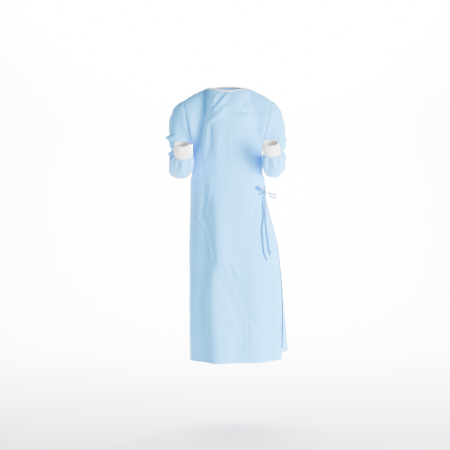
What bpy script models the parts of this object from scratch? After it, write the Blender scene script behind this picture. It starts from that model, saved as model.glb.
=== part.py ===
"""Surgical gown, worn shape with nobody in it: front, two wrapping backs, sleeves,
rib-knit cuffs, bound neck, hook-and-loop neck closure and a bow of two flat waist ties.

Metres, +Z up. The front faces -Y, and the wearer's left is +X. The origin is the middle
of the neck opening, at the height where the shoulders carry the gown.
"""
import math

import bpy
from mathutils import Vector

# Driving dimensions, in metres unless a name says otherwise
WALL = 0.0015               # cloth wall
GAP = 0.0003                # between pieces that are sewn together
SEAM_GAP = 0.0006           # between the panels' faces, whose walls lean together at a seam
LAYER = 0.0055              # from one back panel's face to the other's, where they overlap
YOKE_CLEAR = 0.003          # and this much more in the middle of the yoke

NECK_HALF = 0.092           # half width of the neckline, at the cloth's edge
NECK_SIDE = (0.008, -0.003)     # y and z of the neckline at the shoulder seam
NECK_FRONT = (-0.066, -0.022)   # y and z of the neckline at centre front
NECK_BACK = (0.080, 0.008)      # y and z of the neckline at centre back
NECK_OVERLAP_DEG = 22       # how far each back passes the centre at the neck
SHOULDER_X = 0.190
SHOULDER_Z = -0.056
ARMPIT_Z = -0.245
HEM_Z = -1.160
FLAP_LIFT = 0.027           # the outer back's free corner hangs this much higher
FLAP_FLARE = 0.017          # and stands this much further out at the hem
SECTION_POWER = 2.3         # 2 is an ellipse; more is squarer

# Body sections: height, half width on the wearer's right (-X) and left (+X), depth in
# front of the centre and behind it
BODY_SECTIONS = (
    # z, right, left, front, back
    (-0.245, 0.151, 0.150, 0.122, 0.116),
    (-0.320, 0.150, 0.150, 0.124, 0.110),
    (-0.365, 0.153, 0.152, 0.123, 0.106),
    (-0.400, 0.159, 0.159, 0.122, 0.104),
    (-0.450, 0.161, 0.160, 0.122, 0.104),
    (-0.490, 0.161, 0.164, 0.124, 0.107),
    (-0.540, 0.162, 0.177, 0.128, 0.114),
    (-0.600, 0.163, 0.194, 0.131, 0.120),
    (-0.680, 0.164, 0.213, 0.135, 0.127),
    (-0.780, 0.164, 0.225, 0.139, 0.133),
    (-0.880, 0.164, 0.232, 0.144, 0.138),
    (-1.160, 0.162, 0.234, 0.152, 0.146),
)

# Free edge of each back: how far round the back it reaches from its own side seam
FREE_EDGE = (
    # z, outer (wearer's right) deg, inner (wearer's left) deg
    (-0.245, 122, 112),
    (-0.340, 158, 128),
    (-0.440, 172, 138),
    (-1.160, 176, 142),
)

# Broad folds of the front: a soft ridge (height > 0) or trough, whose middle runs from
# one place to another
FRONT_FOLDS = (
    # x top, z top, x bottom, z bottom, half width, height
    (-0.040, -0.500, -0.028, -0.745, 0.040, 0.010),
    (-0.066, -0.780, -0.030, -1.250, 0.042, 0.012),
    (-0.100, -0.400, -0.096, -1.250, 0.034, -0.010),
    (-0.146, -0.640, -0.146, -1.250, 0.018, 0.004),
    (0.030, -0.800, 0.060, -1.250, 0.040, -0.005),
    (0.105, -0.700, 0.130, -1.250, 0.036, 0.007),
    (0.180, -0.800, 0.185, -1.250, 0.026, -0.007),
    (0.000, -0.085, -0.066, -0.150, 0.020, 0.006),
    (0.094, -0.120, 0.075, -0.105, 0.034, -0.007),
    (0.120, -0.160, 0.142, -0.265, 0.016, -0.010),
    (-0.122, -0.150, -0.140, -0.265, 0.016, -0.008),
    (-0.078, -0.180, -0.085, -0.300, 0.014, -0.004),
)

# Broad folds of the backs, which both of them follow
BACK_FOLDS = (
    # x top, z top, x bottom, z bottom, half width, height
    (0.110, -0.420, 0.140, -1.250, 0.036, 0.010),
    (0.040, -0.480, 0.050, -1.250, 0.032, -0.010),
    (-0.030, -0.430, -0.040, -1.250, 0.034, 0.009),
    (-0.105, -0.500, -0.100, -1.250, 0.030, -0.008),
    (0.060, -0.140, 0.105, -0.380, 0.022, -0.007),
    (-0.070, -0.130, -0.110, -0.330, 0.022, -0.006),
    (0.000, -0.230, 0.050, -0.430, 0.026, 0.006),
)

# The arm's line: it starts level with the armpit, going down, and bends at the elbow
# and again where the wrist turns up. Pitch is 0 when level, towards the front
ARM_START = (0.012, -0.250)     # y and z
ELBOW = (0.030, 0.135)          # stations, in metres along the arm, where the bend is
WRIST = (0.225, 0.280)
FOREARM_PITCH = {"left": 11, "right": 7}
CUFF_PITCH = {"left": 62, "right": 62}
ARM_X = {"left": (0.205, 0.184, 0.175), "right": (-0.206, -0.181, -0.187)}  # elbow, wrist, rim
CUFF_START = 0.280
CUFF_END = {"left": 0.330, "right": 0.336}

# Sleeve sections along the arm: half width sideways, then towards the crook of the
# elbow and away from it
SLEEVE_SECTIONS = (
    # station, side, crook, away
    (0.000, 0.0455, 0.060, 0.062),
    (0.030, 0.0455, 0.050, 0.058),
    (0.060, 0.0465, 0.044, 0.052),
    (0.135, 0.0470, 0.044, 0.050),
    (0.185, 0.0460, 0.046, 0.048),
    (0.235, 0.0430, 0.042, 0.043),
    (0.266, 0.0370, 0.036, 0.036),
    (0.280, 0.0335, 0.033, 0.033),
)
SLEEVE_POWER = 2.5
CUFF_SECTIONS = (
    # station, side, crook, away
    (0.280, 0.0335, 0.0330, 0.0330),
    (0.296, 0.0365, 0.0345, 0.0345),
    (0.315, 0.0350, 0.0330, 0.0330),
    (0.336, 0.0305, 0.0300, 0.0300),
)
CUFF_WALL = 0.0022
RIBS = 36
RIB_HEIGHT = 0.0011

GATHERS = 7                 # folds of the sleeve where the cuff draws it in
GATHER_HEIGHT = 0.0042
GATHER_LENGTH = 0.060

# Folds of the sleeves, at a place along the arm (less than 0 is above the armpit) and
# round it (0 is outward, 90 the crook of the elbow, 180 next to the body)
SLEEVE_FOLDS = {
    "right": (
        # station, angle, half length along, half angle round, height
        (-0.032, 10, 0.012, 70, 0.019),
        (-0.050, 20, 0.007, 50, -0.005),
        (0.018, 15, 0.009, 70, -0.010),
        (0.033, 20, 0.008, 50, 0.006),
        (0.066, 30, 0.010, 60, -0.005),
        (0.085, 90, 0.010, 60, -0.006),
        (0.110, 330, 0.012, 50, 0.004),
        (0.160, 60, 0.014, 60, 0.005),
        (0.180, 250, 0.030, 16, -0.006),
        (0.190, 300, 0.034, 14, -0.005),
    ),
    "left": (
        (-0.020, 0, 0.016, 60, 0.005),
        (0.004, 20, 0.008, 50, 0.004),
        (0.022, 15, 0.010, 70, -0.008),
        (0.046, 10, 0.012, 50, 0.004),
        (0.080, 90, 0.010, 60, -0.006),
        (0.100, 320, 0.012, 40, -0.004),
        (0.125, 312, 0.050, 32, -0.009),
        (0.150, 250, 0.030, 16, -0.006),
        (0.175, 285, 0.036, 14, -0.006),
        (0.160, 50, 0.014, 60, 0.004),
    ),
}
CAP_FULLNESS = {"left": 0.055, "right": 0.075}  # reach of the sleeve head's curve

BINDING_WIDTH = 0.0085
BINDING_THICK = 0.0028
BINDING_GAP = 0.0009

PATCH_THICK = 0.0009        # hook-and-loop patches of the neck closure
PATCH_ACROSS = (0.82, 0.995)    # where they lie on each back: from and to across it,
PATCH_DOWN = (0.06, 0.20)       # and from and to down its yoke

TIE_WIDTH = 0.0082
TIE_THICK = 0.0014
TIE_LIFT = 0.0014           # from a panel's face to the middle of a tie sewn to it

# Mesh density; the yoke's rows are close together at its seams
FRONT_COLUMNS = 24
BACK_COLUMNS = 18
YOKE_LEVELS = (0.0, 0.035, 0.13, 0.27, 0.43, 0.60, 0.80, 1.0)
SKIRT_ROWS = 17
CAP_ROWS = 6
SLEEVE_ROWS = 15
SLEEVE_SIDES = 28
CUFF_ROWS = 4


def clear_scene():
    for item in list(bpy.data.objects):
        bpy.data.objects.remove(item, do_unlink=True)


def lerp(a, b, t):
    return a + (b - a) * t


def smooth(low, high, value):
    """0 below low, 1 above high, with a soft start and end."""
    t = min(1.0, max(0.0, (value - low) / (high - low)))
    return t * t * (3 - 2 * t)


def table(rows, key):
    """The other columns of a table at a key, each on a smooth curve through its rows."""
    rows = sorted(rows)
    key = min(rows[-1][0], max(rows[0][0], key))
    index = next(i for i in range(len(rows) - 1) if key <= rows[i + 1][0])
    before, after = rows[max(0, index - 1)], rows[min(len(rows) - 1, index + 2)]
    low, high = rows[index], rows[index + 1]
    span = high[0] - low[0]
    t = (key - low[0]) / span
    values = []
    for column in range(1, len(low)):
        start = (high[column] - before[column]) / (high[0] - before[0]) * span
        end = (after[column] - low[column]) / (after[0] - low[0]) * span
        values.append((2 * t ** 3 - 3 * t ** 2 + 1) * low[column] + (t ** 3 - 2 * t ** 2 + t) * start
                      + (3 * t ** 2 - 2 * t ** 3) * high[column] + (t ** 3 - t ** 2) * end)
    return values


def power_of(value, power):
    return math.copysign(abs(value) ** (2 / power), value)


def fold_height(folds, x, z):
    """How far a panel's face stands out at a place, from its table of folds."""
    total = 0.0
    for x_top, z_top, x_low, z_low, half, height in folds:
        along = (z_top - z) / (z_top - z_low)
        if along <= -0.25 or along >= 1.25:
            continue
        fade = smooth(-0.25, 0.25, along) * (1 - smooth(0.75, 1.25, along))
        offset = (x - lerp(x_top, x_low, along)) / half
        total += height * fade * math.exp(-offset * offset)
    return total


# The body's form

def ring_point(angle_deg, z, out=0.0, folded=True):
    """A point of the body's face: 0 is centre front, 90 the wearer's left, 180 the back."""
    right, left, front, back = table(BODY_SECTIONS, z)
    sine, cosine = math.sin(math.radians(angle_deg)), math.cos(math.radians(angle_deg))
    half = left if sine > 0 else right
    depth = front if cosine > 0 else back
    x = half * power_of(sine, SECTION_POWER)
    rise = out
    if folded:
        folds = FRONT_FOLDS if cosine > 0 else BACK_FOLDS
        rise += fold_height(folds, x, z) * smooth(0.0, 0.45, abs(cosine))
    return Vector((x + rise * sine, -depth * power_of(cosine, SECTION_POWER) - rise * cosine, z))


def bezier(p0, p1, p2, p3, t):
    s = 1 - t
    return p0 * s ** 3 + p1 * 3 * s * s * t + p2 * 3 * s * t * t + p3 * t ** 3


def neckline(angle_deg, front):
    """A point of the neckline: 0 is its centre front or back, 90 the shoulder seam."""
    sine, cosine = math.sin(math.radians(angle_deg)), math.cos(math.radians(angle_deg))
    middle = NECK_FRONT if front else NECK_BACK
    y = NECK_SIDE[0] + (middle[0] - NECK_SIDE[0]) * cosine
    z = NECK_SIDE[1] + (middle[1] - NECK_SIDE[1]) * cosine ** 2
    return Vector((NECK_HALF * sine, y, z))


def shoulder_seam(t):
    """From the neck (0) to the shoulder point (1), a little hollow between them."""
    x = lerp(NECK_HALF, SHOULDER_X, t)
    y = lerp(NECK_SIDE[0], 0.0, t)
    return Vector((x, y, lerp(NECK_SIDE[1], SHOULDER_Z, t) + 0.004 * math.sin(math.pi * t)))


def yoke_handles(reach, side):
    """Handles that carry a column from the top edge forward (side -1) or back (side 1)."""
    at_neck = Vector((0.0, side * 0.024, -0.036))
    at_seam = Vector((0.0, side * 0.050, 0.0))
    at_shoulder = Vector((0.0, side * 0.078, 0.0))
    if reach < 0.5:
        top = at_neck.lerp(at_seam, reach / 0.5)
    else:
        top = at_seam.lerp(at_shoulder, (reach - 0.5) / 0.5)
    upright, armhole = Vector((0.0, 0.0, 0.10)), Vector((0.004, side * 0.092, 0.012))
    return top, upright.lerp(armhole, smooth(0.55, 1.0, reach))


def yoke_fold(folds, point, angle_deg, v):
    """How far folds move a point of the yoke: square to the ring at its base (v 1)."""
    sine, cosine = math.sin(math.radians(angle_deg)), math.cos(math.radians(angle_deg))
    facing = Vector((0.0, math.copysign(1.0, -cosine), 0.0))
    fade = smooth(0.0, 0.25, v) * smooth(0.0, lerp(0.20, 0.45, v), abs(cosine))
    return facing.lerp(Vector((sine, -cosine, 0.0)), v) * (fold_height(folds, point.x, point.z) * fade)


def front_point(u, v):
    """The front's face: u from -1 to 1 across, v from 0 (top) by 1 (armpit) to 2 (hem)."""
    reach = abs(u)
    if v >= 1:
        point = ring_point(90 * u, lerp(ARMPIT_Z, HEM_Z, v - 1))
    else:
        top = neckline(180 * reach, True) if reach <= 0.5 else shoulder_seam((reach - 0.5) / 0.5)
        base = ring_point(90 * u, ARMPIT_Z, folded=False)
        base.x = abs(base.x)
        top_handle, low_handle = yoke_handles(reach, -1)
        point = bezier(top, top + top_handle, base + low_handle, base, v)
        point.x = math.copysign(point.x, u) if reach > 0 else 0.0
        point += yoke_fold(FRONT_FOLDS, point, 90 * u, v)
    return point + Vector((0.0, -SEAM_GAP / 2, 0.0))


def back_point(side, u, v):
    """A back's face: u from 0 (side seam) to 1 (free edge), v as on the front.

    Side is -1 for the wearer's right, the outer one, and 1 for the left, the inner one.
    """
    outer = side < 0
    if v >= 1:
        z = lerp(ARMPIT_Z, HEM_Z, v - 1)
        outer_edge, inner_edge = table(FREE_EDGE, z)
        around = u * (outer_edge if outer else inner_edge)
        point = ring_point(side * (90 + around), z, back_layer(outer, around, z))
        if outer:
            point.z += FLAP_LIFT * smooth(90, 170, around) * smooth(-0.60, HEM_Z, z)
    else:
        around = u * (FREE_EDGE[0][1] if outer else FREE_EDGE[0][2])
        neck_angle = lerp(90, -NECK_OVERLAP_DEG, (u - 0.5) / 0.5)
        top = neckline(neck_angle, False) if u > 0.5 else shoulder_seam((0.5 - u) / 0.5)
        if not outer:
            top.y -= LAYER * smooth(0.60, 0.80, u)
        angle = side * (90 + around)
        base = ring_point(angle, ARMPIT_Z, back_layer(outer, around, ARMPIT_Z), folded=False)
        base.x *= side
        reach = abs(neck_angle) / 180 if u > 0.5 else 1 - u
        top_handle, low_handle = yoke_handles(reach, 1)
        point = bezier(top, top + top_handle, base + low_handle, base, v)
        if not outer:
            point.y -= YOKE_CLEAR * 4 * v * (1 - v) * smooth(0.50, 0.80, u)
        point.x *= side
        point += yoke_fold(BACK_FOLDS, point, angle, v)
    return point + Vector((0.0, SEAM_GAP / 2, 0.0))


def back_layer(outer, around, z):
    """The inner back steps in under the outer one, which steps out over it at its end."""
    if not outer:
        return -LAYER * smooth(5, 60, around)
    flare = FLAP_FLARE * smooth(-0.78, HEM_Z, z) * smooth(120, 170, around)
    return LAYER * smooth(80, 120, around) + flare


# The arm's line and what is built round it

def ramp(low, high, value):
    return min(1.0, max(0.0, (value - low) / (high - low)))


def arm_line(which):
    """The arm's line in its own plane, in short steps: station, y, z and pitch."""
    step = 0.001
    y, z = ARM_START
    rows = []
    for index in range(int(round(CUFF_END[which] / step)) + 2):
        station = index * step
        pitch = lerp(-90, FOREARM_PITCH[which], ramp(*ELBOW, station))
        pitch = lerp(pitch, CUFF_PITCH[which], ramp(*WRIST, station))
        rows.append((station, y, z, pitch))
        y -= step * math.cos(math.radians(pitch))
        z += step * math.sin(math.radians(pitch))
    return rows


ARM_LINES = {which: arm_line(which) for which in ("left", "right")}


def arm_frame(which, station):
    """Centre of the arm's line at a station, with its outward and crook directions."""
    line = ARM_LINES[which]
    step = line[1][0]
    index = min(len(line) - 2, int(station / step))
    part = station / step - index
    row = [lerp(a, b, part) for a, b in zip(line[index], line[index + 1])]
    elbow, wrist, rim = ARM_X[which]
    x = lerp(lerp(elbow, wrist, smooth(0.05, CUFF_START, station)), rim,
             smooth(CUFF_START - 0.02, CUFF_END[which] + 0.02, station))
    pitch = math.radians(row[3])
    outward = Vector((math.copysign(1.0, elbow), 0.0, 0.0))
    return Vector((x, row[1], row[2])), outward, Vector((0.0, math.sin(pitch), math.cos(pitch)))


def around_arm(which, station, angle_deg, sections, power, rise=0.0):
    """A point round the arm: 0 is outward, 90 the crook, 180 next to the body."""
    centre, outward, crook = arm_frame(which, station)
    side, near, away = table(sections, station)
    cosine, sine = math.cos(math.radians(angle_deg)), math.sin(math.radians(angle_deg))
    depth = near if sine > 0 else away
    across, up = side * power_of(cosine, power), depth * power_of(sine, power)
    return centre + outward * (across + rise * cosine) + crook * (up + rise * sine)


def sleeve_rise(which, station, angle_deg):
    """Folds of the sleeve and the gathers that run into its cuff."""
    total = 0.0
    for at, angle, along, half_angle, height in SLEEVE_FOLDS[which]:
        turn = (angle_deg - angle + 180) % 360 - 180
        total += height * math.exp(-((station - at) / along) ** 2 - (turn / half_angle) ** 2)
    near_body = math.exp(-((angle_deg % 360 - 180) / 50) ** 2)
    total *= 1 - 0.8 * near_body * (1 - smooth(0.12, 0.2, station))
    wave = math.cos(math.radians(GATHERS * angle_deg + 900 * station))
    reach = smooth(CUFF_START - GATHER_LENGTH, CUFF_START - 0.012, station)
    return total + GATHER_HEIGHT * wave * reach * (1 - smooth(CUFF_START - 0.008, CUFF_START, station))


def armhole_point(which, angle_deg):
    """A point of the armhole, on the panels' own edges, in the sleeve's angles."""
    sign = 1 if which == "left" else -1
    front = angle_deg <= 180
    down = angle_deg / 180 if front else (360 - angle_deg) / 180
    place = down * (len(YOKE_LEVELS) - 1)
    index = min(len(YOKE_LEVELS) - 2, int(place))
    ends = []
    for level in YOKE_LEVELS[index:index + 2]:
        ends.append(front_point(sign, level) if front else back_point(sign, 0.0, level))
    return ends[0].lerp(ends[1], place - index)


def cap_point(which, t, angle_deg):
    """The sleeve head: from the armhole (0) to the sleeve's first ring (1)."""
    sign = 1 if which == "left" else -1
    start = armhole_point(which, angle_deg)
    end = around_arm(which, 0.0, angle_deg, SLEEVE_SECTIONS, SLEEVE_POWER)
    top = 0.5 + 0.5 * math.cos(math.radians(angle_deg))
    leave = Vector((sign * lerp(0.010, CAP_FULLNESS[which], top), 0.0, -lerp(0.004, 0.030, top)))
    arrive = Vector((0.0, 0.0, lerp(0.006, 0.085, top)))
    point = bezier(start, start + leave, end + arrive, end, t)
    if t == 0:
        return start + leave.normalized() * SEAM_GAP
    centre, outward, crook = arm_frame(which, 0.0)
    radial = outward * math.cos(math.radians(angle_deg)) + crook * math.sin(math.radians(angle_deg))
    above = min(-0.001, ARM_START[1] - point.z)
    return point + radial * sleeve_rise(which, above, angle_deg) * top * smooth(0.0, 0.4, t)


def sleeve_rings(which):
    """The sleeve's rings, from the armhole to the cuff."""
    angles = [360 * k / SLEEVE_SIDES for k in range(SLEEVE_SIDES)]
    rings = []
    for row in range(CAP_ROWS):
        rings.append([cap_point(which, row / CAP_ROWS, angle) for angle in angles])
    for row in range(SLEEVE_ROWS + 1):
        station = (CUFF_START - SEAM_GAP) * row / SLEEVE_ROWS
        ring = []
        for angle in angles:
            rise = sleeve_rise(which, station, angle)
            ring.append(around_arm(which, station, angle, SLEEVE_SECTIONS, SLEEVE_POWER, rise))
        rings.append(ring)
    return rings


# Turning points into solids

def make_material(name, colour, roughness):
    material = bpy.data.materials.new(name)
    material.use_nodes = True
    shader = material.node_tree.nodes["Principled BSDF"]
    shader.inputs["Base Color"].default_value = (*colour, 1.0)
    shader.inputs["Roughness"].default_value = roughness
    shader.inputs["Metallic"].default_value = 0.0
    return material


def add_mesh(name, points, faces, material):
    mesh = bpy.data.meshes.new(name)
    mesh.from_pydata([tuple(point) for point in points], [], faces)
    mesh.materials.append(material)
    mesh.shade_smooth()
    thing = bpy.data.objects.new(name, mesh)
    PARTS.objects.link(thing)
    return thing


def add_cloth(name, rows, material, closed=False, wall=WALL):
    """A wall of cloth from rows of points of its outer face."""
    wide = len(rows[0])
    faces = []
    for row in range(len(rows) - 1):
        for column in range(wide if closed else wide - 1):
            near, far = row * wide + column, row * wide + (column + 1) % wide
            faces.append((near, near + wide, far + wide, far))
    thing = add_mesh(name, [point for row in rows for point in row], faces, material)
    solid = thing.modifiers.new("Cloth wall", "SOLIDIFY")
    solid.thickness = wall
    solid.offset = -1.0
    solid.use_even_offset = True
    return thing


def add_ribbed_tube(name, outer, inner, material):
    """A tube with its own outer and inner rings, closed at both rims."""
    sides, rows = len(outer[0]), len(outer)
    count = sides * rows
    faces = []
    for column in range(sides):
        after = (column + 1) % sides
        for row in range(rows - 1):
            near, far = row * sides + column, row * sides + after
            faces.append((near, near + sides, far + sides, far))
            faces.append((count + near, count + far, count + far + sides, count + near + sides))
        faces.append((column, after, count + after, count + column))
        last = (rows - 1) * sides
        faces.append((last + after, last + column, count + last + column, count + last + after))
    return add_mesh(name, [point for ring in outer + inner for point in ring], faces, material)


def add_strip(name, route, material, width=TIE_WIDTH, thick=TIE_THICK):
    """A flat tape along a route of (point, direction of its width, share of its width)."""
    points, faces = [], []
    for index, (centre, across, share) in enumerate(route):
        before, after = route[max(0, index - 1)][0], route[min(len(route) - 1, index + 1)][0]
        along = (after - before).normalized()
        across = (across - along * across.dot(along)).normalized()
        face = along.cross(across)
        for side, lift in ((-1, -1), (1, -1), (1, 1), (-1, 1)):
            points.append(centre + across * (side * share * width / 2) + face * (lift * thick / 2))
    for index in range(len(route) - 1):
        base = index * 4
        for k in range(4):
            after = (k + 1) % 4
            faces.append((base + k, base + after, base + 4 + after, base + 4 + k))
    faces.append((3, 2, 1, 0))
    last = 4 * (len(route) - 1)
    faces.append((last, last + 1, last + 2, last + 3))
    return add_mesh(name, points, faces, material)


def smooth_route(points, pieces):
    """A finer route on a smooth curve through the route's own points."""
    rows = [(float(index), *point) for index, point in enumerate(points)]
    count = (len(points) - 1) * pieces
    return [Vector(table(rows, k / pieces)) for k in range(count + 1)]


def on_front(x, z, lift):
    """The place over the front's face at x and z, lifted from it."""
    low, high = 0.0, 90.0
    for _ in range(24):
        middle = (low + high) / 2
        if ring_point(middle, z).x < x:
            low = middle
        else:
            high = middle
    angle = math.radians(low)
    return ring_point(low, z) + Vector((math.sin(angle), -math.cos(angle), 0.0)) * lift


# The pieces

def panel_levels():
    return list(YOKE_LEVELS) + [1 + (row + 1) / SKIRT_ROWS for row in range(SKIRT_ROWS)]


def build_front(cloth):
    across = [lerp(-1, 1, k / FRONT_COLUMNS) for k in range(FRONT_COLUMNS + 1)]
    add_cloth("front_panel", [[front_point(u, v) for u in across] for v in panel_levels()], cloth)


def build_back(name, side, cloth):
    across = [k / BACK_COLUMNS for k in range(BACK_COLUMNS + 1)]
    if side < 0:
        across = across[::-1]
    add_cloth(name, [[back_point(side, u, v) for u in across] for v in panel_levels()], cloth)


def build_sleeve(which, cloth):
    rings = sleeve_rings(which)
    if which == "left":
        rings = [ring[::-1] for ring in rings]
    add_cloth(f"sleeve_{which}", rings, cloth, closed=True)


def build_cuff(which, knit):
    outer, inner = [], []
    sides = RIBS * 2
    for row in range(CUFF_ROWS + 1):
        station = lerp(CUFF_START, CUFF_END[which], row / CUFF_ROWS)
        angles = [360 * k / sides for k in range(sides)]
        if which == "left":
            angles = angles[::-1]
        outer.append([around_arm(which, station, angle, CUFF_SECTIONS, 2.0,
                                 RIB_HEIGHT * (round(angle * sides / 360) % 2)) for angle in angles])
        inner.append([around_arm(which, station, angle, CUFF_SECTIONS, 2.0, -CUFF_WALL)
                      for angle in angles])
    add_ribbed_tube(f"cuff_{which}", outer, inner, knit)


def build_binding(knit):
    """The bound neckline: one band from the outer back round the front to the inner back."""
    half_back, half_front = BACK_COLUMNS // 2, FRONT_COLUMNS // 4
    edge = [back_point(-1, 1 - 0.5 * k / half_back, 0.0) for k in range(half_back)]
    edge += [front_point(0.5 * k / half_front, 0.0) for k in range(-half_front, half_front + 1)]
    edge += [back_point(1, 0.5 + 0.5 * k / half_back, 0.0) for k in range(1, half_back + 1)]
    route = []
    for index, point in enumerate(edge):
        along = edge[min(len(edge) - 1, index + 1)] - edge[max(0, index - 1)]
        aside = min(1.0, abs(point.x) / NECK_HALF)
        facing = -1 if point.y < NECK_SIDE[0] else 1
        face = Vector((math.copysign(0.50 * aside, point.x), facing * 0.80 * math.sqrt(1 - aside ** 2),
                       lerp(0.58, 0.87, aside)))
        across = face.cross(along).normalized()
        middle = point + across * (BINDING_WIDTH / 2 + BINDING_GAP) - face.normalized() * WALL / 2
        route.append((middle, across, 1.0))
    add_strip("neck_binding", route, knit, BINDING_WIDTH, BINDING_THICK)


def build_patch(name, side, lift, fastener):
    """A hook-and-loop patch on a back panel, near the neck, on its outer or inner face."""
    columns, rows = 6, 4
    grid = []
    for row in range(rows + 1):
        line = []
        for column in range(columns + 1):
            u = lerp(*PATCH_ACROSS, column / columns)
            v = lerp(*PATCH_DOWN, row / rows)
            here = back_point(side, u, v)
            along = back_point(side, u + 0.01, v) - here
            down = back_point(side, u, v + 0.01) - here
            normal = along.cross(down).normalized()
            normal *= math.copysign(1.0, normal.y)
            line.append(here + normal * lift)
        grid.append(line if side > 0 else line[::-1])
    add_cloth(name, grid, fastener, wall=PATCH_THICK)


# The bow: the knot's place on the front, and its half sizes along the belt line, out
# from the cloth and up. The tails' places are x and z on the front
KNOT_PLACE = (0.1480, -0.4495)
KNOT_LIFT = 0.0085
KNOT_HALF = (0.0068, 0.0050, 0.0074)
ALONG, OUTWARD, UP = Vector((0.60, 0.80, 0.0)), Vector((0.80, -0.60, 0.0)), Vector((0.0, 0.0, 1.0))
KNOT_PINCH = 0.45           # share of a tie's width where it goes into the knot
KNOT_CLEAR = 0.0007         # from the knot's face to the end of a tie
TAIL_FRONT_ROUTE = ((0.1465, -0.4800), (0.1455, -0.5030), (0.1470, -0.5520), (0.1405, -0.6020),
                    (0.1440, -0.6390), (0.1465, -0.6830), (0.1515, -0.7120), (0.1625, -0.7330))
TAIL_SIDE_ROUTE = ((0.1560, -0.4820), (0.1562, -0.5300), (0.1575, -0.5780), (0.1605, -0.6070),
                   (0.1655, -0.6530), (0.1705, -0.6910), (0.1765, -0.7020), (0.1745, -0.7150))


def tie_knot_centre():
    return on_front(*KNOT_PLACE, KNOT_LIFT)


def knot_face(along, outward, up):
    """A place on the knot's face, from its centre in shares of the half sizes."""
    pull = 1 - 0.10 * math.sin(1.5 * math.atan2(up, along)) ** 2
    return (tie_knot_centre() + ALONG * (KNOT_HALF[0] * along * pull)
            + OUTWARD * (KNOT_HALF[1] * outward) + UP * (KNOT_HALF[2] * up * pull))


def leave_knot(along, outward, up):
    """Just off the knot's face, in a direction given along the belt, outward and up."""
    shares = Vector((along / KNOT_HALF[0], outward / KNOT_HALF[1], up / KNOT_HALF[2])).normalized()
    direction = ALONG * along + OUTWARD * outward + UP * up
    return knot_face(*shares) + direction.normalized() * KNOT_CLEAR


def tape_route(points, across, pieces=3):
    """A tape's route through its points, gathered in where it leaves the knot."""
    knot = tie_knot_centre()
    route = []
    for point in smooth_route(points, pieces):
        away = (point - knot).length
        route.append((point, across, lerp(KNOT_PINCH, 1.0, smooth(0.008, 0.022, away))))
    return route


def tail_route(start, places, lift, lean):
    """A tail that hangs from the knot down the front, a flat tape that turns a little."""
    route = tape_route([start] + [on_front(x, z, lift) for x, z in places], UP)
    turned = []
    for index, (point, _, share) in enumerate(route):
        turn = lean * math.sin(math.pi * index / len(route) * 1.6)
        level = on_front(point.x + 0.004, point.z, 0.0) - on_front(point.x - 0.004, point.z, 0.0)
        turned.append((point, level.normalized() * math.cos(turn) + UP * math.sin(turn), share))
    return turned


def build_knot(cloth):
    bpy.ops.mesh.primitive_uv_sphere_add(segments=14, ring_count=8, radius=1.0, location=(0, 0, 0))
    ball = bpy.context.object
    ball.name = ball.data.name = "tie_knot"
    for vertex in ball.data.vertices:
        x, y, z = vertex.co
        vertex.co = knot_face(x, -y, z)
    ball.data.materials.append(cloth)
    ball.data.shade_smooth()
    for collection in list(ball.users_collection):
        collection.objects.unlink(ball)
    PARTS.objects.link(ball)


def build_ties(cloth):
    build_knot(cloth)
    knot = tie_knot_centre()
    belt = 1 + (ARMPIT_Z + 0.446) / (ARMPIT_Z - HEM_Z)
    sewn = [back_point(-1, u, belt) + Vector((TIE_LIFT + GAP, 0.0, 0.0)) for u in (0.93, 0.985)]
    add_strip("tie_back", tape_route(sewn + [on_front(0.1605, -0.4475, 0.0060),
                                             leave_knot(1.0, -0.10, 0.05)], UP), cloth)
    add_strip("tie_front", tape_route([on_front(0.1300, -0.4580, TIE_LIFT),
                                       on_front(0.1370, -0.4560, TIE_LIFT + 0.0018),
                                       leave_knot(-1.0, -0.25, -0.30)], UP), cloth)
    start = leave_knot(-0.90, 0.45, 0.40)
    add_strip("tie_loop_front", tape_route([start, start + Vector((-0.008, -0.009, 0.005)),
                                            on_front(0.1215, -0.4300, 0.0170),
                                            on_front(0.1165, -0.4270, 0.0120),
                                            on_front(0.1205, -0.4350, 0.0070),
                                            on_front(0.1320, -0.4420, 0.0065)],
                                           Vector((0.25, 0.2, 0.95))), cloth)
    start = leave_knot(0.80, 0.70, -0.10)
    back = knot.y + 0.002
    add_strip("tie_loop_side", tape_route([start, start + Vector((0.013, -0.003, -0.003)),
                                           Vector((0.1870, back - 0.013, -0.4570)),
                                           Vector((0.2010, back - 0.011, -0.4585)),
                                           Vector((0.2075, back - 0.005, -0.4680)),
                                           Vector((0.2010, back - 0.001, -0.4735)),
                                           Vector((0.1880, back, -0.4690)),
                                           Vector((0.1760, back - 0.001, -0.4630))],
                                          Vector((0.15, 0.55, 0.82))), cloth)
    start = leave_knot(-0.10, 0.30, 1.0)
    add_strip("tie_end", tape_route([start, start + Vector((-0.0010, -0.0010, 0.006)),
                                     start + Vector((-0.0005, -0.0035, 0.012)),
                                     start + Vector((0.0010, -0.0060, 0.017))], ALONG), cloth)
    start = leave_knot(-0.35, 0.20, -1.0)
    add_strip("tie_tail_front", tail_route(start, TAIL_FRONT_ROUTE, 0.0052, 0.35), cloth)
    start = leave_knot(0.45, -0.15, -1.0)
    add_strip("tie_tail_side", tail_route(start, TAIL_SIDE_ROUTE, 0.0042, -0.25), cloth)


clear_scene()
PARTS = bpy.data.collections.new("surgical_gown")
bpy.context.scene.collection.children.link(PARTS)

SKY_CLOTH = make_material("sky_blue_cloth", (0.50, 0.71, 0.89), 0.75)
TIE_CLOTH = make_material("blue_tie_cloth", (0.27, 0.55, 0.82), 0.70)
WHITE_KNIT = make_material("white_knit", (0.90, 0.89, 0.86), 0.90)
FASTENER = make_material("hook_and_loop", (0.85, 0.87, 0.88), 0.85)

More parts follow.
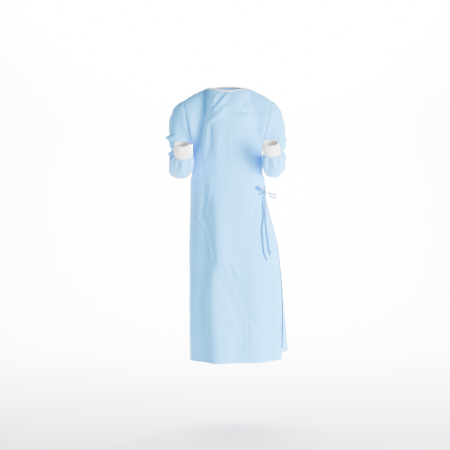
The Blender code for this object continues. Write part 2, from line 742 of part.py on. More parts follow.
build_front(SKY_CLOTH)
build_back("back_panel_outer", -1, SKY_CLOTH)
build_back("back_panel_inner", 1, SKY_CLOTH)
for WHICH in ("left", "right"):
    build_sleeve(WHICH, SKY_CLOTH)
    build_cuff(WHICH, WHITE_KNIT)
build_binding(WHITE_KNIT)
build_patch("neck_loop_patch", 1, PATCH_THICK + GAP, FASTENER)
build_patch("neck_hook_patch", -1, -WALL - 4 * GAP, FASTENER)
build_ties(TIE_CLOTH)
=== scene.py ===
# %% [markdown]
# # A surgical gown, worn but empty
# The gown is light sky-blue nonwoven: one front, two backs that wrap over each other, two
# set-in sleeves with white rib cuffs, a bound neckline and a bow of two flat ties at the
# wearer's left. The packed CAD model gives every piece its place and its main form. This
# script dresses each piece: finer cloth with its creases, rib knit, tape, seams, stitches
# and materials. First it loads the frame and keeps the CAD model's box, whose sizes are
# printed at the end beside those of the dressed gown.

import math

import bpy
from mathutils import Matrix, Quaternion, Vector, noise


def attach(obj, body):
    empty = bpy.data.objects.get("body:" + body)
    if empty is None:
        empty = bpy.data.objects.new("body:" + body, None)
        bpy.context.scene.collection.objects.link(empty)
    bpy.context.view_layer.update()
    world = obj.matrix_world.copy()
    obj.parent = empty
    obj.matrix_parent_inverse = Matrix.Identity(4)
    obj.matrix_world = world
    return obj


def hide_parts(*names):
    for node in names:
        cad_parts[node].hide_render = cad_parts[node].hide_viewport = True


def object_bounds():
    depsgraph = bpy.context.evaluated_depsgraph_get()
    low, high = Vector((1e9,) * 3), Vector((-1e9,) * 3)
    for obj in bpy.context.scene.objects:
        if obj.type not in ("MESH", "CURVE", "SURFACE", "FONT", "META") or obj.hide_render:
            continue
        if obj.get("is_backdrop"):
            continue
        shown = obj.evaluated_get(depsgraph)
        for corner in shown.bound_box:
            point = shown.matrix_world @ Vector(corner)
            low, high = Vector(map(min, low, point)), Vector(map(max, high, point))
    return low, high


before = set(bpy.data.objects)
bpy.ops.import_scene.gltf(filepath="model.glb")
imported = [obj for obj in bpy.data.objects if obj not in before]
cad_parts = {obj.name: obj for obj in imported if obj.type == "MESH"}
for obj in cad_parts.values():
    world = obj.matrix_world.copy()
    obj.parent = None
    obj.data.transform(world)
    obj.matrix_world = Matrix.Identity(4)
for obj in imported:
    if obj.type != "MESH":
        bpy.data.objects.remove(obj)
CAD_BOX = [list(corner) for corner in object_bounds()]
print("CAD box", [[round(x, 3) for x in corner] for corner in CAD_BOX])

# %% [markdown]
# ## Camera
# The gown was seen from straight in front, from far enough away that its sleeves and hem
# keep their proportions. The camera therefore stands level, 4.3 m in front, at about waist
# height, and one pixel of the square picture covers 4.3 mm of the gown. A small shift
# frames the gown as it was framed, without tilting the camera.

# %% Camera
FAR = 4.3
METRES_PER_PIXEL = 0.0043
PICTURE = 450
CAMERA_HEIGHT = -0.44
SHIFT_PIXELS = (-2.5, -35)
SENSOR = 36                 # millimetres

bpy.ops.object.select_all(action="DESELECT")
bpy.ops.object.camera_add(location=(0, -FAR, CAMERA_HEIGHT), rotation=(math.pi / 2, 0, 0))
camera = bpy.context.object
camera.name = "photo_camera"
camera.data.sensor_width = SENSOR
camera.data.lens = SENSOR * FAR / (PICTURE * METRES_PER_PIXEL)
camera.data.shift_x, camera.data.shift_y = (pixels / PICTURE for pixels in SHIFT_PIXELS)
bpy.context.scene.camera = camera
print("lens", round(camera.data.lens, 1), "mm")

# %% [markdown]
# ## Studio
# A plain pale floor runs up behind the gown without an edge. It is made as one plane whose
# back edge is extruded up, with the bend rounded, so no line shows behind the gown.

# %% Floor and backdrop
FLOOR_Z = -1.45
FLOOR_SIZE, FLOOR_MIDDLE_Y = 14, -3.5
BACKDROP_HEIGHT, BEND_WIDTH = 7, 1.6

bpy.ops.object.select_all(action="DESELECT")
bpy.ops.mesh.primitive_plane_add(size=FLOOR_SIZE, location=(0, FLOOR_MIDDLE_Y, FLOOR_Z))
floor = bpy.context.object
floor.name = "floor"
bpy.ops.object.transform_apply(location=True, rotation=True, scale=True)
bpy.ops.object.mode_set(mode="EDIT")
bpy.ops.mesh.select_all(action="DESELECT")
bpy.ops.object.mode_set(mode="OBJECT")
for edge in floor.data.edges:
    edge.select = all(floor.data.vertices[k].co.y > 3.0 for k in edge.vertices)
for vertex in floor.data.vertices:
    vertex.select = vertex.co.y > 3.0
bpy.ops.object.mode_set(mode="EDIT")
bpy.ops.mesh.extrude_region_move(TRANSFORM_OT_translate={"value": (0, 0, BACKDROP_HEIGHT)})
bpy.ops.object.mode_set(mode="OBJECT")
bend = floor.modifiers.new("Rounded bend", "BEVEL")
bend.width = BEND_WIDTH
bend.segments = 12
bend.limit_method = "ANGLE"
bpy.ops.object.modifier_apply(modifier=bend.name)
bpy.ops.object.shade_smooth()
floor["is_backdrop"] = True

floor_paint = bpy.data.materials.new("pale_floor")
floor_paint.use_nodes = True
floor_shader = floor_paint.node_tree.nodes["Principled BSDF"]
floor_shader.inputs["Base Color"].default_value = (0.93, 0.94, 0.95, 1)
floor_shader.inputs["Roughness"].default_value = 0.9
floor.data.materials.append(floor_paint)
print("floor at", FLOOR_Z)

# %% [markdown]
# ## Lights
# Thin cloth shows its folds by their light and dark sides, so a large soft light stands well
# to the right. A low one in front and a weak one at the left soften the shadows. One behind
# each side draws the thin bright edge along the sleeves and skirt, and one washes the
# backdrop. A pale blue world fills in what no lamp reaches.

# %% Lights
LIGHTS = (
    # name, place, aimed at, width, height, watts, spread in degrees
    ("key_right", (3.1, -2.75, -0.32), (0.0, 0.0, -0.60), 2.2, 2.4, 840, 180),
    ("fill_left", (-3.0, -3.6, 0.0), (0.0, 0.0, -0.60), 1.8, 2.4, 11, 180),
    ("front_low", (0.9, -4.6, -0.9), (0.0, 0.0, -0.60), 2.0, 1.2, 115, 180),
    ("rim_left", (-2.6, 1.2, -0.3), (-0.15, 0.0, -0.70), 0.9, 2.4, 60, 180),
    ("rim_right", (2.6, 1.6, 0.2), (0.1, 0.0, -0.60), 0.9, 2.4, 60, 180),
    ("backdrop_wash", (0.0, 1.8, 2.6), (0.0, 3.4, 0.0), 4.0, 1.4, 1400, 130),
)


def add_light(name, place, target, width, height, watts, spread):
    """A soft rectangular lamp that faces its target; a smaller spread keeps its light narrow."""
    bpy.ops.object.select_all(action="DESELECT")
    turn = (Vector(target) - Vector(place)).to_track_quat("-Z", "Y").to_euler()
    bpy.ops.object.light_add(type="AREA", location=place, rotation=turn)
    lamp = bpy.context.object
    lamp.name = name
    lamp.data.shape = "RECTANGLE"
    lamp.data.size, lamp.data.size_y = width, height
    lamp.data.energy = watts
    lamp.data.spread = math.radians(spread)


for row in LIGHTS:
    add_light(*row)
world = bpy.data.worlds.new("studio_air")
world.use_nodes = True
air = world.node_tree.nodes["Background"]
air.inputs["Color"].default_value = (0.80, 0.91, 1.0, 1.0)
air.inputs["Strength"].default_value = 0.32
bpy.context.scene.world = world
print(len(LIGHTS), "lamps")

# %% [markdown]
# ## Small tools
# Every curve of the gown comes from short tables of sizes. `table` reads such a table at
# any height or place, on a smooth curve through its rows, so that a few rows are enough.

# %% Small tools
def lerp(a, b, t):
    """The value a share t of the way from a to b."""
    return a + (b - a) * t


def smooth(low, high, value):
    """0 below low, 1 above high, with a soft start and end."""
    t = min(1.0, max(0.0, (value - low) / (high - low)))
    return t * t * (3 - 2 * t)


def table(rows, key):
    """The other columns of a table at a key, on a smooth curve through its rows."""
    rows = sorted(rows)
    key = min(rows[-1][0], max(rows[0][0], key))
    index = next(i for i in range(len(rows) - 1) if key <= rows[i + 1][0])
    before, after = rows[max(0, index - 1)], rows[min(len(rows) - 1, index + 2)]
    low, high = rows[index], rows[index + 1]
    span = high[0] - low[0]
    t = (key - low[0]) / span
    values = []
    for column in range(1, len(low)):
        start = (high[column] - before[column]) / (high[0] - before[0]) * span
        end = (after[column] - low[column]) / (after[0] - low[0]) * span
        values.append((2 * t ** 3 - 3 * t ** 2 + 1) * low[column] + (t ** 3 - 2 * t ** 2 + t) * start
                      + (3 * t ** 2 - 2 * t ** 3) * high[column] + (t ** 3 - t ** 2) * end)
    return values


def power_of(value, power):
    """A sine or cosine made rounder or squarer, for a section between ellipse and box."""
    return math.copysign(abs(value) ** (2 / power), value)


def bezier(p0, p1, p2, p3, t):
    """A point of a curve with two ends and two handles."""
    s = 1 - t
    return p0 * s ** 3 + p1 * 3 * s * s * t + p2 * 3 * s * t * t + p3 * t ** 3


def circle_of(angle_deg):
    """Sine and cosine of an angle in degrees."""
    return math.sin(math.radians(angle_deg)), math.cos(math.radians(angle_deg))


print("a table read between its first rows:", table(((0, 0.0), (1, 1.0), (2, 4.0)), 0.5))

# %% [markdown]
# ## The gown's form
# These tables are the pattern of the worn gown. The body is a stack of rounded sections,
# wider towards the hem at the wearer's left, where the wrapped back flares out. Stiff cloth
# that hangs like this could be simulated, but a few measured sections say more exactly how
# this gown stands.

# %% Body sizes
ARMPIT_Z, HEM_Z = -0.245, -1.160
SECTION_POWER = 2.3         # 2 would be an ellipse, and more is squarer
BODY_SECTIONS = (
    # height, half width right and left, depth in front and behind
    (-0.245, 0.151, 0.150, 0.122, 0.116),
    (-0.320, 0.150, 0.150, 0.124, 0.110),
    (-0.365, 0.153, 0.152, 0.123, 0.106),
    (-0.400, 0.159, 0.159, 0.122, 0.104),
    (-0.450, 0.161, 0.160, 0.122, 0.104),
    (-0.490, 0.161, 0.164, 0.124, 0.107),
    (-0.540, 0.162, 0.177, 0.128, 0.114),
    (-0.600, 0.163, 0.194, 0.131, 0.120),
    (-0.680, 0.164, 0.213, 0.135, 0.127),
    (-0.780, 0.164, 0.225, 0.139, 0.133),
    (-0.880, 0.164, 0.232, 0.144, 0.138),
    (-1.160, 0.162, 0.234, 0.152, 0.146),
)
print(len(BODY_SECTIONS), "sections from", ARMPIT_Z, "down to", HEM_Z)

# %% [markdown]
# ## Broad folds
# Below the chest the cloth hangs in broad soft folds. Each is a ridge or a trough along a
# line, with its own width and height, and the rows of two tables place them. The body's face
# is then a section with the folds of its side added.

# %% Broad folds
FRONT_FOLDS = (
    # x and z at the top, x and z at the bottom, half width, height
    (-0.040, -0.500, -0.028, -0.745, 0.040, 0.010),
    (-0.066, -0.780, -0.030, -1.250, 0.042, 0.012),
    (-0.100, -0.400, -0.096, -1.250, 0.034, -0.010),
    (-0.146, -0.640, -0.146, -1.250, 0.018, 0.004),
    (0.030, -0.800, 0.060, -1.250, 0.040, -0.005),
    (0.105, -0.700, 0.130, -1.250, 0.036, 0.007),
    (0.180, -0.800, 0.185, -1.250, 0.026, -0.007),
    (0.000, -0.085, -0.066, -0.150, 0.020, 0.006),
    (0.094, -0.120, 0.075, -0.105, 0.034, -0.007),
    (0.120, -0.160, 0.142, -0.265, 0.016, -0.010),
    (-0.122, -0.150, -0.140, -0.265, 0.016, -0.008),
    (-0.078, -0.180, -0.085, -0.300, 0.014, -0.004),
)
BACK_FOLDS = (
    # the same columns
    (0.110, -0.420, 0.140, -1.250, 0.036, 0.010),
    (0.040, -0.480, 0.050, -1.250, 0.032, -0.010),
    (-0.030, -0.430, -0.040, -1.250, 0.034, 0.009),
    (-0.105, -0.500, -0.100, -1.250, 0.030, -0.008),
    (0.060, -0.140, 0.105, -0.380, 0.022, -0.007),
    (-0.070, -0.130, -0.110, -0.330, 0.022, -0.006),
    (0.000, -0.230, 0.050, -0.430, 0.026, 0.006),
)


def fold_height(folds, x, z):
    """How far the cloth stands out at a place, from a table of folds."""
    total = 0.0
    for x_top, z_top, x_low, z_low, half, height in folds:
        along = (z_top - z) / (z_top - z_low)
        if along <= -0.25 or along >= 1.25:
            continue
        fade = smooth(-0.25, 0.25, along) * (1 - smooth(0.75, 1.25, along))
        offset = (x - lerp(x_top, x_low, along)) / half
        if abs(offset) < 4:
            total += height * fade * math.exp(-offset * offset)
    return total


def ring_point(angle_deg, z, out=0.0, folded=True):
    """The body's face: 0 is centre front, 90 the wearer's left, 180 the back."""
    right, left, front, back = table(BODY_SECTIONS, z)
    sine, cosine = circle_of(angle_deg)
    half = left if sine > 0 else right
    depth = front if cosine > 0 else back
    x = half * power_of(sine, SECTION_POWER)
    rise = out
    if folded:
        folds = FRONT_FOLDS if cosine > 0 else BACK_FOLDS
        rise += fold_height(folds, x, z) * smooth(0.0, 0.45, abs(cosine))
    return Vector((x + rise * sine, -depth * power_of(cosine, SECTION_POWER) - rise * cosine, z))


print("waist at centre front", [round(c, 3) for c in ring_point(0, -0.45)])

# %% [markdown]
# ## Neckline and yoke
# The yoke hangs between the neckline, the shoulder seams and the armpits, as cloth lies on
# shoulders. Its columns are curves that leave the top edge forward or back and arrive
# upright at the first section. Curves with handles suit it, because a shoulder seam and a
# neckline have no section of their own.

# %% Neckline and yoke
NECK_HALF = 0.092
NECK_SIDE = (0.008, -0.003)         # y and z of the neckline at the shoulder seam,
NECK_FRONT = (-0.066, -0.022)       # at its centre front
NECK_BACK = (0.080, 0.008)          # and at its centre back
SHOULDER_X, SHOULDER_Z = 0.190, -0.056
SHOULDER_ARCH = 0.004


def neckline(angle_deg, front):
    """The neckline: 0 is its centre front or back, 90 the shoulder seam."""
    sine, cosine = circle_of(angle_deg)
    middle = NECK_FRONT if front else NECK_BACK
    return Vector((NECK_HALF * sine, NECK_SIDE[0] + (middle[0] - NECK_SIDE[0]) * cosine,
                   NECK_SIDE[1] + (middle[1] - NECK_SIDE[1]) * cosine ** 2))


def shoulder_seam(t):
    """From the neck (0) to the shoulder point (1), a little arched between them."""
    return Vector((lerp(NECK_HALF, SHOULDER_X, t), lerp(NECK_SIDE[0], 0.0, t),
                   lerp(NECK_SIDE[1], SHOULDER_Z, t) + SHOULDER_ARCH * math.sin(math.pi * t)))


def yoke_handles(reach, side):
    """Handles that carry a column from the top edge forward (side -1) or back (side 1)."""
    at_neck, at_seam = Vector((0.0, side * 0.024, -0.036)), Vector((0.0, side * 0.050, 0.0))
    if reach < 0.5:
        top = at_neck.lerp(at_seam, reach / 0.5)
    else:
        top = at_seam.lerp(Vector((0.0, side * 0.078, 0.0)), (reach - 0.5) / 0.5)
    upright, at_armhole = Vector((0.0, 0.0, 0.10)), Vector((0.004, side * 0.092, 0.012))
    return top, upright.lerp(at_armhole, smooth(0.55, 1.0, reach))


def yoke_fold(folds, point, angle_deg, v):
    """How far folds move a point of the yoke: square to the ring at its base (v 1)."""
    sine, cosine = circle_of(angle_deg)
    facing = Vector((0.0, math.copysign(1.0, -cosine), 0.0))
    fade = smooth(0.0, 0.25, v) * smooth(0.0, lerp(0.20, 0.45, v), abs(cosine))
    return facing.lerp(Vector((sine, -cosine, 0.0)), v) * (fold_height(folds, point.x, point.z) * fade)


print("shoulder seam", round((shoulder_seam(1.0) - shoulder_seam(0.0)).length, 3), "m long")

# %% [markdown]
# ## The front's face
# The front panel covers the front half of the body. A place on it is told by two shares:
# across from side seam to side seam, and down from the top edge by the armpit to the hem.

# %% The front's face
SEAM_GAP = 0.0006           # between two panels along their seam


def front_point(u, v):
    """The front's face: u from -1 to 1 across, v from 0 (top) by 1 (armpit) to 2 (hem)."""
    reach = abs(u)
    if v >= 1:
        point = ring_point(90 * u, lerp(ARMPIT_Z, HEM_Z, v - 1))
    else:
        top = neckline(180 * reach, True) if reach <= 0.5 else shoulder_seam((reach - 0.5) / 0.5)
        base = ring_point(90 * u, ARMPIT_Z, folded=False)
        base.x = abs(base.x)
        top_handle, low_handle = yoke_handles(reach, -1)
        point = bezier(top, top + top_handle, base + low_handle, base, v)
        point.x = math.copysign(point.x, u) if reach > 0 else 0.0
        point += yoke_fold(FRONT_FOLDS, point, 90 * u, v)
    return point + Vector((0.0, -SEAM_GAP / 2, 0.0))


print("hem at centre front", [round(c, 3) for c in front_point(0.0, 2.0)])

# %% [markdown]
# ## The backs' faces
# The two backs overlap. Behind, the inner one steps in and the outer one steps out by a
# layer each. The outer one ends at the wearer's left, where its edge stands off as a flap
# that lifts and flares towards the hem.

# %% The backs' faces
NECK_OVERLAP_DEG = 22
LAYER = 0.0055
YOKE_CLEAR = 0.003          # more room between the layers in the yoke
FLAP_LIFT, FLAP_FLARE = 0.027, 0.024
FREE_EDGE = (
    # height, how far round the outer and the inner back reach
    (-0.245, 122, 112),
    (-0.340, 158, 128),
    (-0.440, 172, 138),
    (-0.760, 176, 141),
    (-1.160, 192, 142),
)


def back_layer(outer, around, z):
    """The inner back steps in under the outer one, which steps out over it at its end."""
    if not outer:
        return -LAYER * smooth(5, 60, around)
    edge = table(FREE_EDGE, z)[0]
    flare = FLAP_FLARE * smooth(-0.78, HEM_Z, z) * smooth(120, 166, around)
    flare *= 1 - 0.95 * smooth(edge - 22, edge, around)
    return LAYER * smooth(80, 120, around) + flare


def back_point(side, u, v):
    """A back's face: u from 0 (side seam) to 1 (free edge). Side -1 is the outer, right back."""
    outer = side < 0
    if v >= 1:
        z = lerp(ARMPIT_Z, HEM_Z, v - 1)
        around = u * table(FREE_EDGE, z)[0 if outer else 1]
        point = ring_point(side * (90 + around), z, back_layer(outer, around, z))
        if outer:
            point.z += FLAP_LIFT * smooth(90, 170, around) * smooth(-0.60, HEM_Z, z)
    else:
        around = u * FREE_EDGE[0][1 if outer else 2]
        neck_angle = lerp(90, -NECK_OVERLAP_DEG, (u - 0.5) / 0.5)
        top = neckline(neck_angle, False) if u > 0.5 else shoulder_seam((0.5 - u) / 0.5)
        if not outer:
            top.y -= LAYER * smooth(0.60, 0.80, u)
        angle = side * (90 + around)
        base = ring_point(angle, ARMPIT_Z, back_layer(outer, around, ARMPIT_Z), folded=False)
        base.x *= side
        reach = abs(neck_angle) / 180 if u > 0.5 else 1 - u
        top_handle, low_handle = yoke_handles(reach, 1)
        point = bezier(top, top + top_handle, base + low_handle, base, v)
        if not outer:
            point.y -= YOKE_CLEAR * 4 * v * (1 - v) * smooth(0.50, 0.80, u)
        point.x *= side
        point += yoke_fold(BACK_FOLDS, point, angle, v)
    return point + Vector((0.0, SEAM_GAP / 2, 0.0))


print("corner of the flap", [round(c, 3) for c in back_point(-1, 1.0, 2.0)])

# %% [markdown]
# ## The sleeves' form
# A raised forearm folds the sleeve at the elbow. The arm's line is followed in short steps:
# straight down from the armpit, round the elbow towards the front, and up at the wrist.
# Rounded sections then stand square to that line, as on a stuffed tube.

# %% The arm's line
ARM_START = (0.012, -0.250)         # y and z
ELBOW = (0.030, 0.135)              # where along the arm the elbow bends,
WRIST = (0.225, 0.280)              # and where the wrist does
FOREARM_PITCH = {"left": 11, "right": 7}
CUFF_PITCH = 62
ARM_X = {"left": (0.205, 0.184, 0.175), "right": (-0.206, -0.181, -0.187)}  # elbow, wrist, rim
CUFF_START = 0.280
CUFF_END = {"left": 0.330, "right": 0.336}
ARM_STEP = 0.001


def ramp(low, high, value):
    """0 below low, 1 above high, straight between them."""
    return min(1.0, max(0.0, (value - low) / (high - low)))


def arm_line(which):
    """The arm's line in its own plane, in short steps: station, y, z and pitch."""
    y, z = ARM_START
    rows = []
    for index in range(int(round(CUFF_END[which] / ARM_STEP)) + 2):
        station = index * ARM_STEP
        pitch = lerp(-90, FOREARM_PITCH[which], ramp(*ELBOW, station))
        pitch = lerp(pitch, CUFF_PITCH, ramp(*WRIST, station))
        rows.append((station, y, z, pitch))
        y -= ARM_STEP * math.cos(math.radians(pitch))
        z += ARM_STEP * math.sin(math.radians(pitch))
    return rows


ARM_LINES = {which: arm_line(which) for which in ("left", "right")}


def arm_frame(which, station):
    """Centre of the arm's line at a station, with its outward and crook directions."""
    line = ARM_LINES[which]
    place = station / ARM_STEP
    index = min(len(line) - 2, int(place))
    row = [lerp(a, b, place - index) for a, b in zip(line[index], line[index + 1])]
    elbow, wrist, rim = ARM_X[which]
    x = lerp(lerp(elbow, wrist, smooth(0.05, CUFF_START, station)), rim,
             smooth(CUFF_START - 0.02, CUFF_END[which] + 0.02, station))
    pitch = math.radians(row[3])
    return (Vector((x, row[1], row[2])), Vector((math.copysign(1.0, elbow), 0.0, 0.0)),
            Vector((0.0, math.sin(pitch), math.cos(pitch))))


for which in ARM_LINES:
    print(which, "cuff ends at", [round(c, 3) for c in arm_frame(which, CUFF_END[which])[0]])

# %% [markdown]
# ## The sleeve's sections and folds
# Each sleeve has its own short table of folds, because no two sleeves crease alike. They
# lie across the arm, and where a bent arm presses the cloth together in the crook they are
# deepest. Towards the cuff the cloth is gathered in upright waves.

# %% The sleeve's sections and folds
SLEEVE_POWER = 2.5
GATHERS, GATHER_HEIGHT, GATHER_LENGTH = 7, 0.0042, 0.060
SLEEVE_SECTIONS = (
    # along the arm, half width, depth towards the crook and away from it
    (0.000, 0.0455, 0.060, 0.062),
    (0.030, 0.0455, 0.050, 0.058),
    (0.060, 0.0465, 0.044, 0.052),
    (0.135, 0.0470, 0.044, 0.050),
    (0.185, 0.0460, 0.046, 0.048),
    (0.235, 0.0430, 0.042, 0.043),
    (0.266, 0.0370, 0.036, 0.036),
    (0.280, 0.0335, 0.033, 0.033),
)
SLEEVE_FOLDS = {
    "right": (
        # along the arm, angle round it, half length along, half angle round, height
        (-0.032, 10, 0.012, 70, 0.019),
        (-0.050, 20, 0.007, 50, -0.005),
        (0.018, 15, 0.009, 70, -0.010),
        (0.033, 20, 0.008, 50, 0.006),
        (0.066, 30, 0.010, 60, -0.005),
        (0.085, 90, 0.010, 60, -0.006),
        (0.110, 330, 0.012, 50, 0.004),
        (0.160, 60, 0.014, 60, 0.005),
        (0.180, 250, 0.030, 16, -0.006),
        (0.190, 300, 0.034, 14, -0.005),
    ),
    "left": (
        (-0.020, 0, 0.016, 60, 0.005),
        (0.004, 20, 0.008, 50, 0.004),
        (0.022, 15, 0.010, 70, -0.008),
        (0.046, 10, 0.012, 50, 0.004),
        (0.080, 90, 0.010, 60, -0.006),
        (0.100, 320, 0.012, 40, -0.004),
        (0.125, 312, 0.050, 32, -0.009),
        (0.150, 250, 0.030, 16, -0.006),
        (0.175, 285, 0.036, 14, -0.006),
        (0.160, 50, 0.014, 60, 0.004),
    ),
}



def around_arm(which, station, angle_deg, sections, power, rise=0.0):
    """A point round the arm: 0 is outward, 90 the crook, 180 next to the body."""
    centre, outward, crook = arm_frame(which, station)
    side, near, away = table(sections, station)
    sine, cosine = circle_of(angle_deg)
    depth = near if sine > 0 else away
    across, up = side * power_of(cosine, power), depth * power_of(sine, power)
    return centre + outward * (across + rise * cosine) + crook * (up + rise * sine)


def sleeve_rise(which, station, angle_deg):
    """Folds of the sleeve, and the gathers that run into its cuff."""
    total = 0.0
    for at, angle, along, half_angle, height in SLEEVE_FOLDS[which]:
        turn = (angle_deg - angle + 180) % 360 - 180
        total += height * math.exp(-((station - at) / along) ** 2 - (turn / half_angle) ** 2)
    near_body = math.exp(-((angle_deg % 360 - 180) / 50) ** 2)
    total *= 1 - 0.8 * near_body * (1 - smooth(0.12, 0.2, station))
    wave = math.cos(math.radians(GATHERS * angle_deg + 900 * station))
    reach = smooth(CUFF_START - GATHER_LENGTH, CUFF_START - 0.012, station)
    return total + GATHER_HEIGHT * wave * reach * (1 - smooth(CUFF_START - 0.008, CUFF_START, station))


print("deepest sleeve fold", min(row[4] for rows in SLEEVE_FOLDS.values() for row in rows), "m")

# %% [markdown]
# ## The sleeve's head
# A set-in sleeve is sewn into the armhole all round, with a fuller head over the shoulder.
# Its head is made of curves that start on the very edges of the front and the back and end
# on the sleeve's first section, so the seam has no gap.

# %% The sleeve's head
YOKE_LEVELS = (0.0, 0.035, 0.13, 0.27, 0.43, 0.60, 0.80, 1.0)
CAP_FULLNESS = {"left": 0.055, "right": 0.075}


def armhole_point(which, angle_deg):
    """A point of the armhole, on the panels' own edges, in the sleeve's angles."""
    angle_deg %= 360
    sign = 1 if which == "left" else -1
    front = angle_deg <= 180
    place = (angle_deg if front else 360 - angle_deg) / 180 * (len(YOKE_LEVELS) - 1)
    index = min(len(YOKE_LEVELS) - 2, int(place))
    level = lerp(YOKE_LEVELS[index], YOKE_LEVELS[index + 1], place - index)
    return front_point(sign, level) if front else back_point(sign, 0.0, level)


def cap_point(which, t, angle_deg):
    """The sleeve head: from the armhole (0) to the sleeve's first ring (1)."""
    sign = 1 if which == "left" else -1
    start = armhole_point(which, angle_deg)
    end = around_arm(which, 0.0, angle_deg, SLEEVE_SECTIONS, SLEEVE_POWER)
    sine, cosine = circle_of(angle_deg)
    top = 0.5 + 0.5 * cosine
    leave = Vector((sign * lerp(0.010, CAP_FULLNESS[which], top), 0.0, -lerp(0.004, 0.030, top)))
    arrive = Vector((0.0, 0.0, lerp(0.006, 0.085, top)))
    if t == 0:
        return start + leave.normalized() * SEAM_GAP
    point = bezier(start, start + leave, end + arrive, end, t)
    outward, crook = arm_frame(which, 0.0)[1:]
    above = min(-0.001, ARM_START[1] - point.z)
    rise = sleeve_rise(which, above, angle_deg) * top * smooth(0.0, 0.4, t)
    return point + (outward * cosine + crook * sine) * rise


for which in CAP_FULLNESS:
    print(which, "sleeve head is highest at", [round(c, 3) for c in cap_point(which, 0.3, 0)])

# %% [markdown]
# ## Materials
# Every material here starts as the standard shader with soft, matt, slightly fuzzy cloth
# values. Thin cloth lets a little light through, which a little subsurface light stands for.
# Nodes then add the pattern. A small class keeps the adding and linking of a node to one
# call, so that each material reads as a short recipe.

# %% Material tools
MIX_A, MIX_B, MIX_RESULT = 6, 7, 2      # the colour sockets of a Mix node


class Recipe:
    """A new material, and short calls that add and link its nodes."""

    def __init__(self, name, colour, roughness, sheen, subsurface=0.0):
        self.material = bpy.data.materials.new(name)
        self.material.use_nodes = True
        self.tree = self.material.node_tree
        self.shader = self.tree.nodes["Principled BSDF"].inputs
        values = {"Base Color": (*colour, 1.0), "Roughness": roughness, "Specular IOR Level": 0.1,
                  "Sheen Weight": sheen, "Sheen Roughness": 0.5, "Subsurface Weight": subsurface,
                  "Subsurface Scale": 0.004, "Subsurface Radius": (0.7, 0.9, 1.0)}
        for key, value in values.items():
            self.shader[key].default_value = value

    def node(self, kind, inputs=(), **settings):
        """A node with its settings and its inputs, each a socket to link or a plain value."""
        node = self.tree.nodes.new(kind)
        for key, value in settings.items():
            setattr(node, key, value)
        for key, value in inputs:
            if isinstance(value, bpy.types.NodeSocket):
                self.tree.links.new(value, node.inputs[key])
            else:
                node.inputs[key].default_value = value
        return node

    def maths(self, operation, *values):
        """A Math node on one or two sockets or numbers."""
        return self.node("ShaderNodeMath", enumerate(values), operation=operation).outputs[0]

    def noise(self, where, scale, detail):
        """A cloudy pattern."""
        inputs = [("Vector", where), ("Scale", scale), ("Detail", detail)]
        return self.node("ShaderNodeTexNoise", inputs).outputs[0]

    def on_cloth(self):
        """The place on the UV map, and its ways across and along in metres."""
        uv = self.node("ShaderNodeUVMap").outputs[0]
        return uv, *self.node("ShaderNodeSeparateXYZ", [(0, uv)]).outputs[:2]

    def colour(self, share, low, high):
        """Base colour between two colours, by a share."""
        inputs = [(0, share), (MIX_A, (*low, 1.0)), (MIX_B, (*high, 1.0))]
        mix = self.node("ShaderNodeMix", inputs, data_type="RGBA")
        self.tree.links.new(mix.outputs[MIX_RESULT], self.shader["Base Color"])

    def bump(self, height, distance, strength):
        """Relief that only the light sees."""
        inputs = [("Height", height), ("Distance", distance), ("Strength", strength)]
        self.tree.links.new(self.node("ShaderNodeBump", inputs).outputs[0], self.shader["Normal"])


print("a recipe can add", [name for name in vars(Recipe) if not name.startswith("_")])

# %% [markdown]
# ## Nonwoven cloth
# The gown's cloth isn't woven: its fibres are bonded in a fine grid of small pressed points,
# with a soft cloudy look where the fibres lie thicker or thinner. The pattern is laid out on
# each piece's own UV map, measured in metres, so that the points have their real size and
# follow the cloth over its folds. The ties are the same cloth in a deeper blue.

# %% Nonwoven cloth
POINT_PITCH = 0.0019        # between the bonded points


def nonwoven(name, thin, thick, scale=1.0):
    """Bonded cloth between two colours, thin places paler and thick ones deeper."""
    cloth = Recipe(name, thin, 0.62, 0.06, 0.05)
    uv, *ways = cloth.on_cloth()
    waves = [cloth.maths("SINE", cloth.maths("MULTIPLY", way, 2 * math.pi / POINT_PITCH))
             for way in ways]
    points = cloth.maths("SUBTRACT", cloth.maths("MULTIPLY", *waves), 0.45)
    points = cloth.maths("MAXIMUM", points, 0.0)
    cloud, drift = cloth.noise(uv, 85 * scale, 5), cloth.noise(uv, 5, 2)
    fibre = cloth.noise(uv, 1500 * scale, 3)
    share = cloth.maths("ADD", cloth.maths("MULTIPLY", cloud, 0.55),
                        cloth.maths("MULTIPLY", drift, 0.35))
    share = cloth.maths("ADD", share, cloth.maths("MULTIPLY", points, 0.35))
    cloth.colour(share, thin, thick)
    rough = cloth.maths("ADD", cloth.maths("MULTIPLY", cloud, 0.16), 0.56)
    cloth.tree.links.new(rough, cloth.shader["Roughness"])
    cloth.bump(cloth.maths("SUBTRACT", cloth.maths("MULTIPLY", fibre, 0.35), points), 0.00012, 0.5)
    return cloth.material


gown_cloth = nonwoven("nonwoven_sky_blue", (0.105, 0.535, 1.000), (0.060, 0.455, 0.980))
tie_cloth = nonwoven("nonwoven_folded_tie", (0.012, 0.160, 0.460), (0.006, 0.105, 0.360), 1.4)
print("bonded points every", POINT_PITCH * 1000, "mm")

# %% [markdown]
# ## Rib knit
# The cuffs and the neck tape are knit: fine upright ribs crossed by short rows of loops. The
# ribs of the cuffs are modelled later, and the material adds the loops, with painted shade
# between them. The loops slant to both sides of each wale, which is a column of loops.

# %% Rib knit
LOOP_ROW = 0.0017


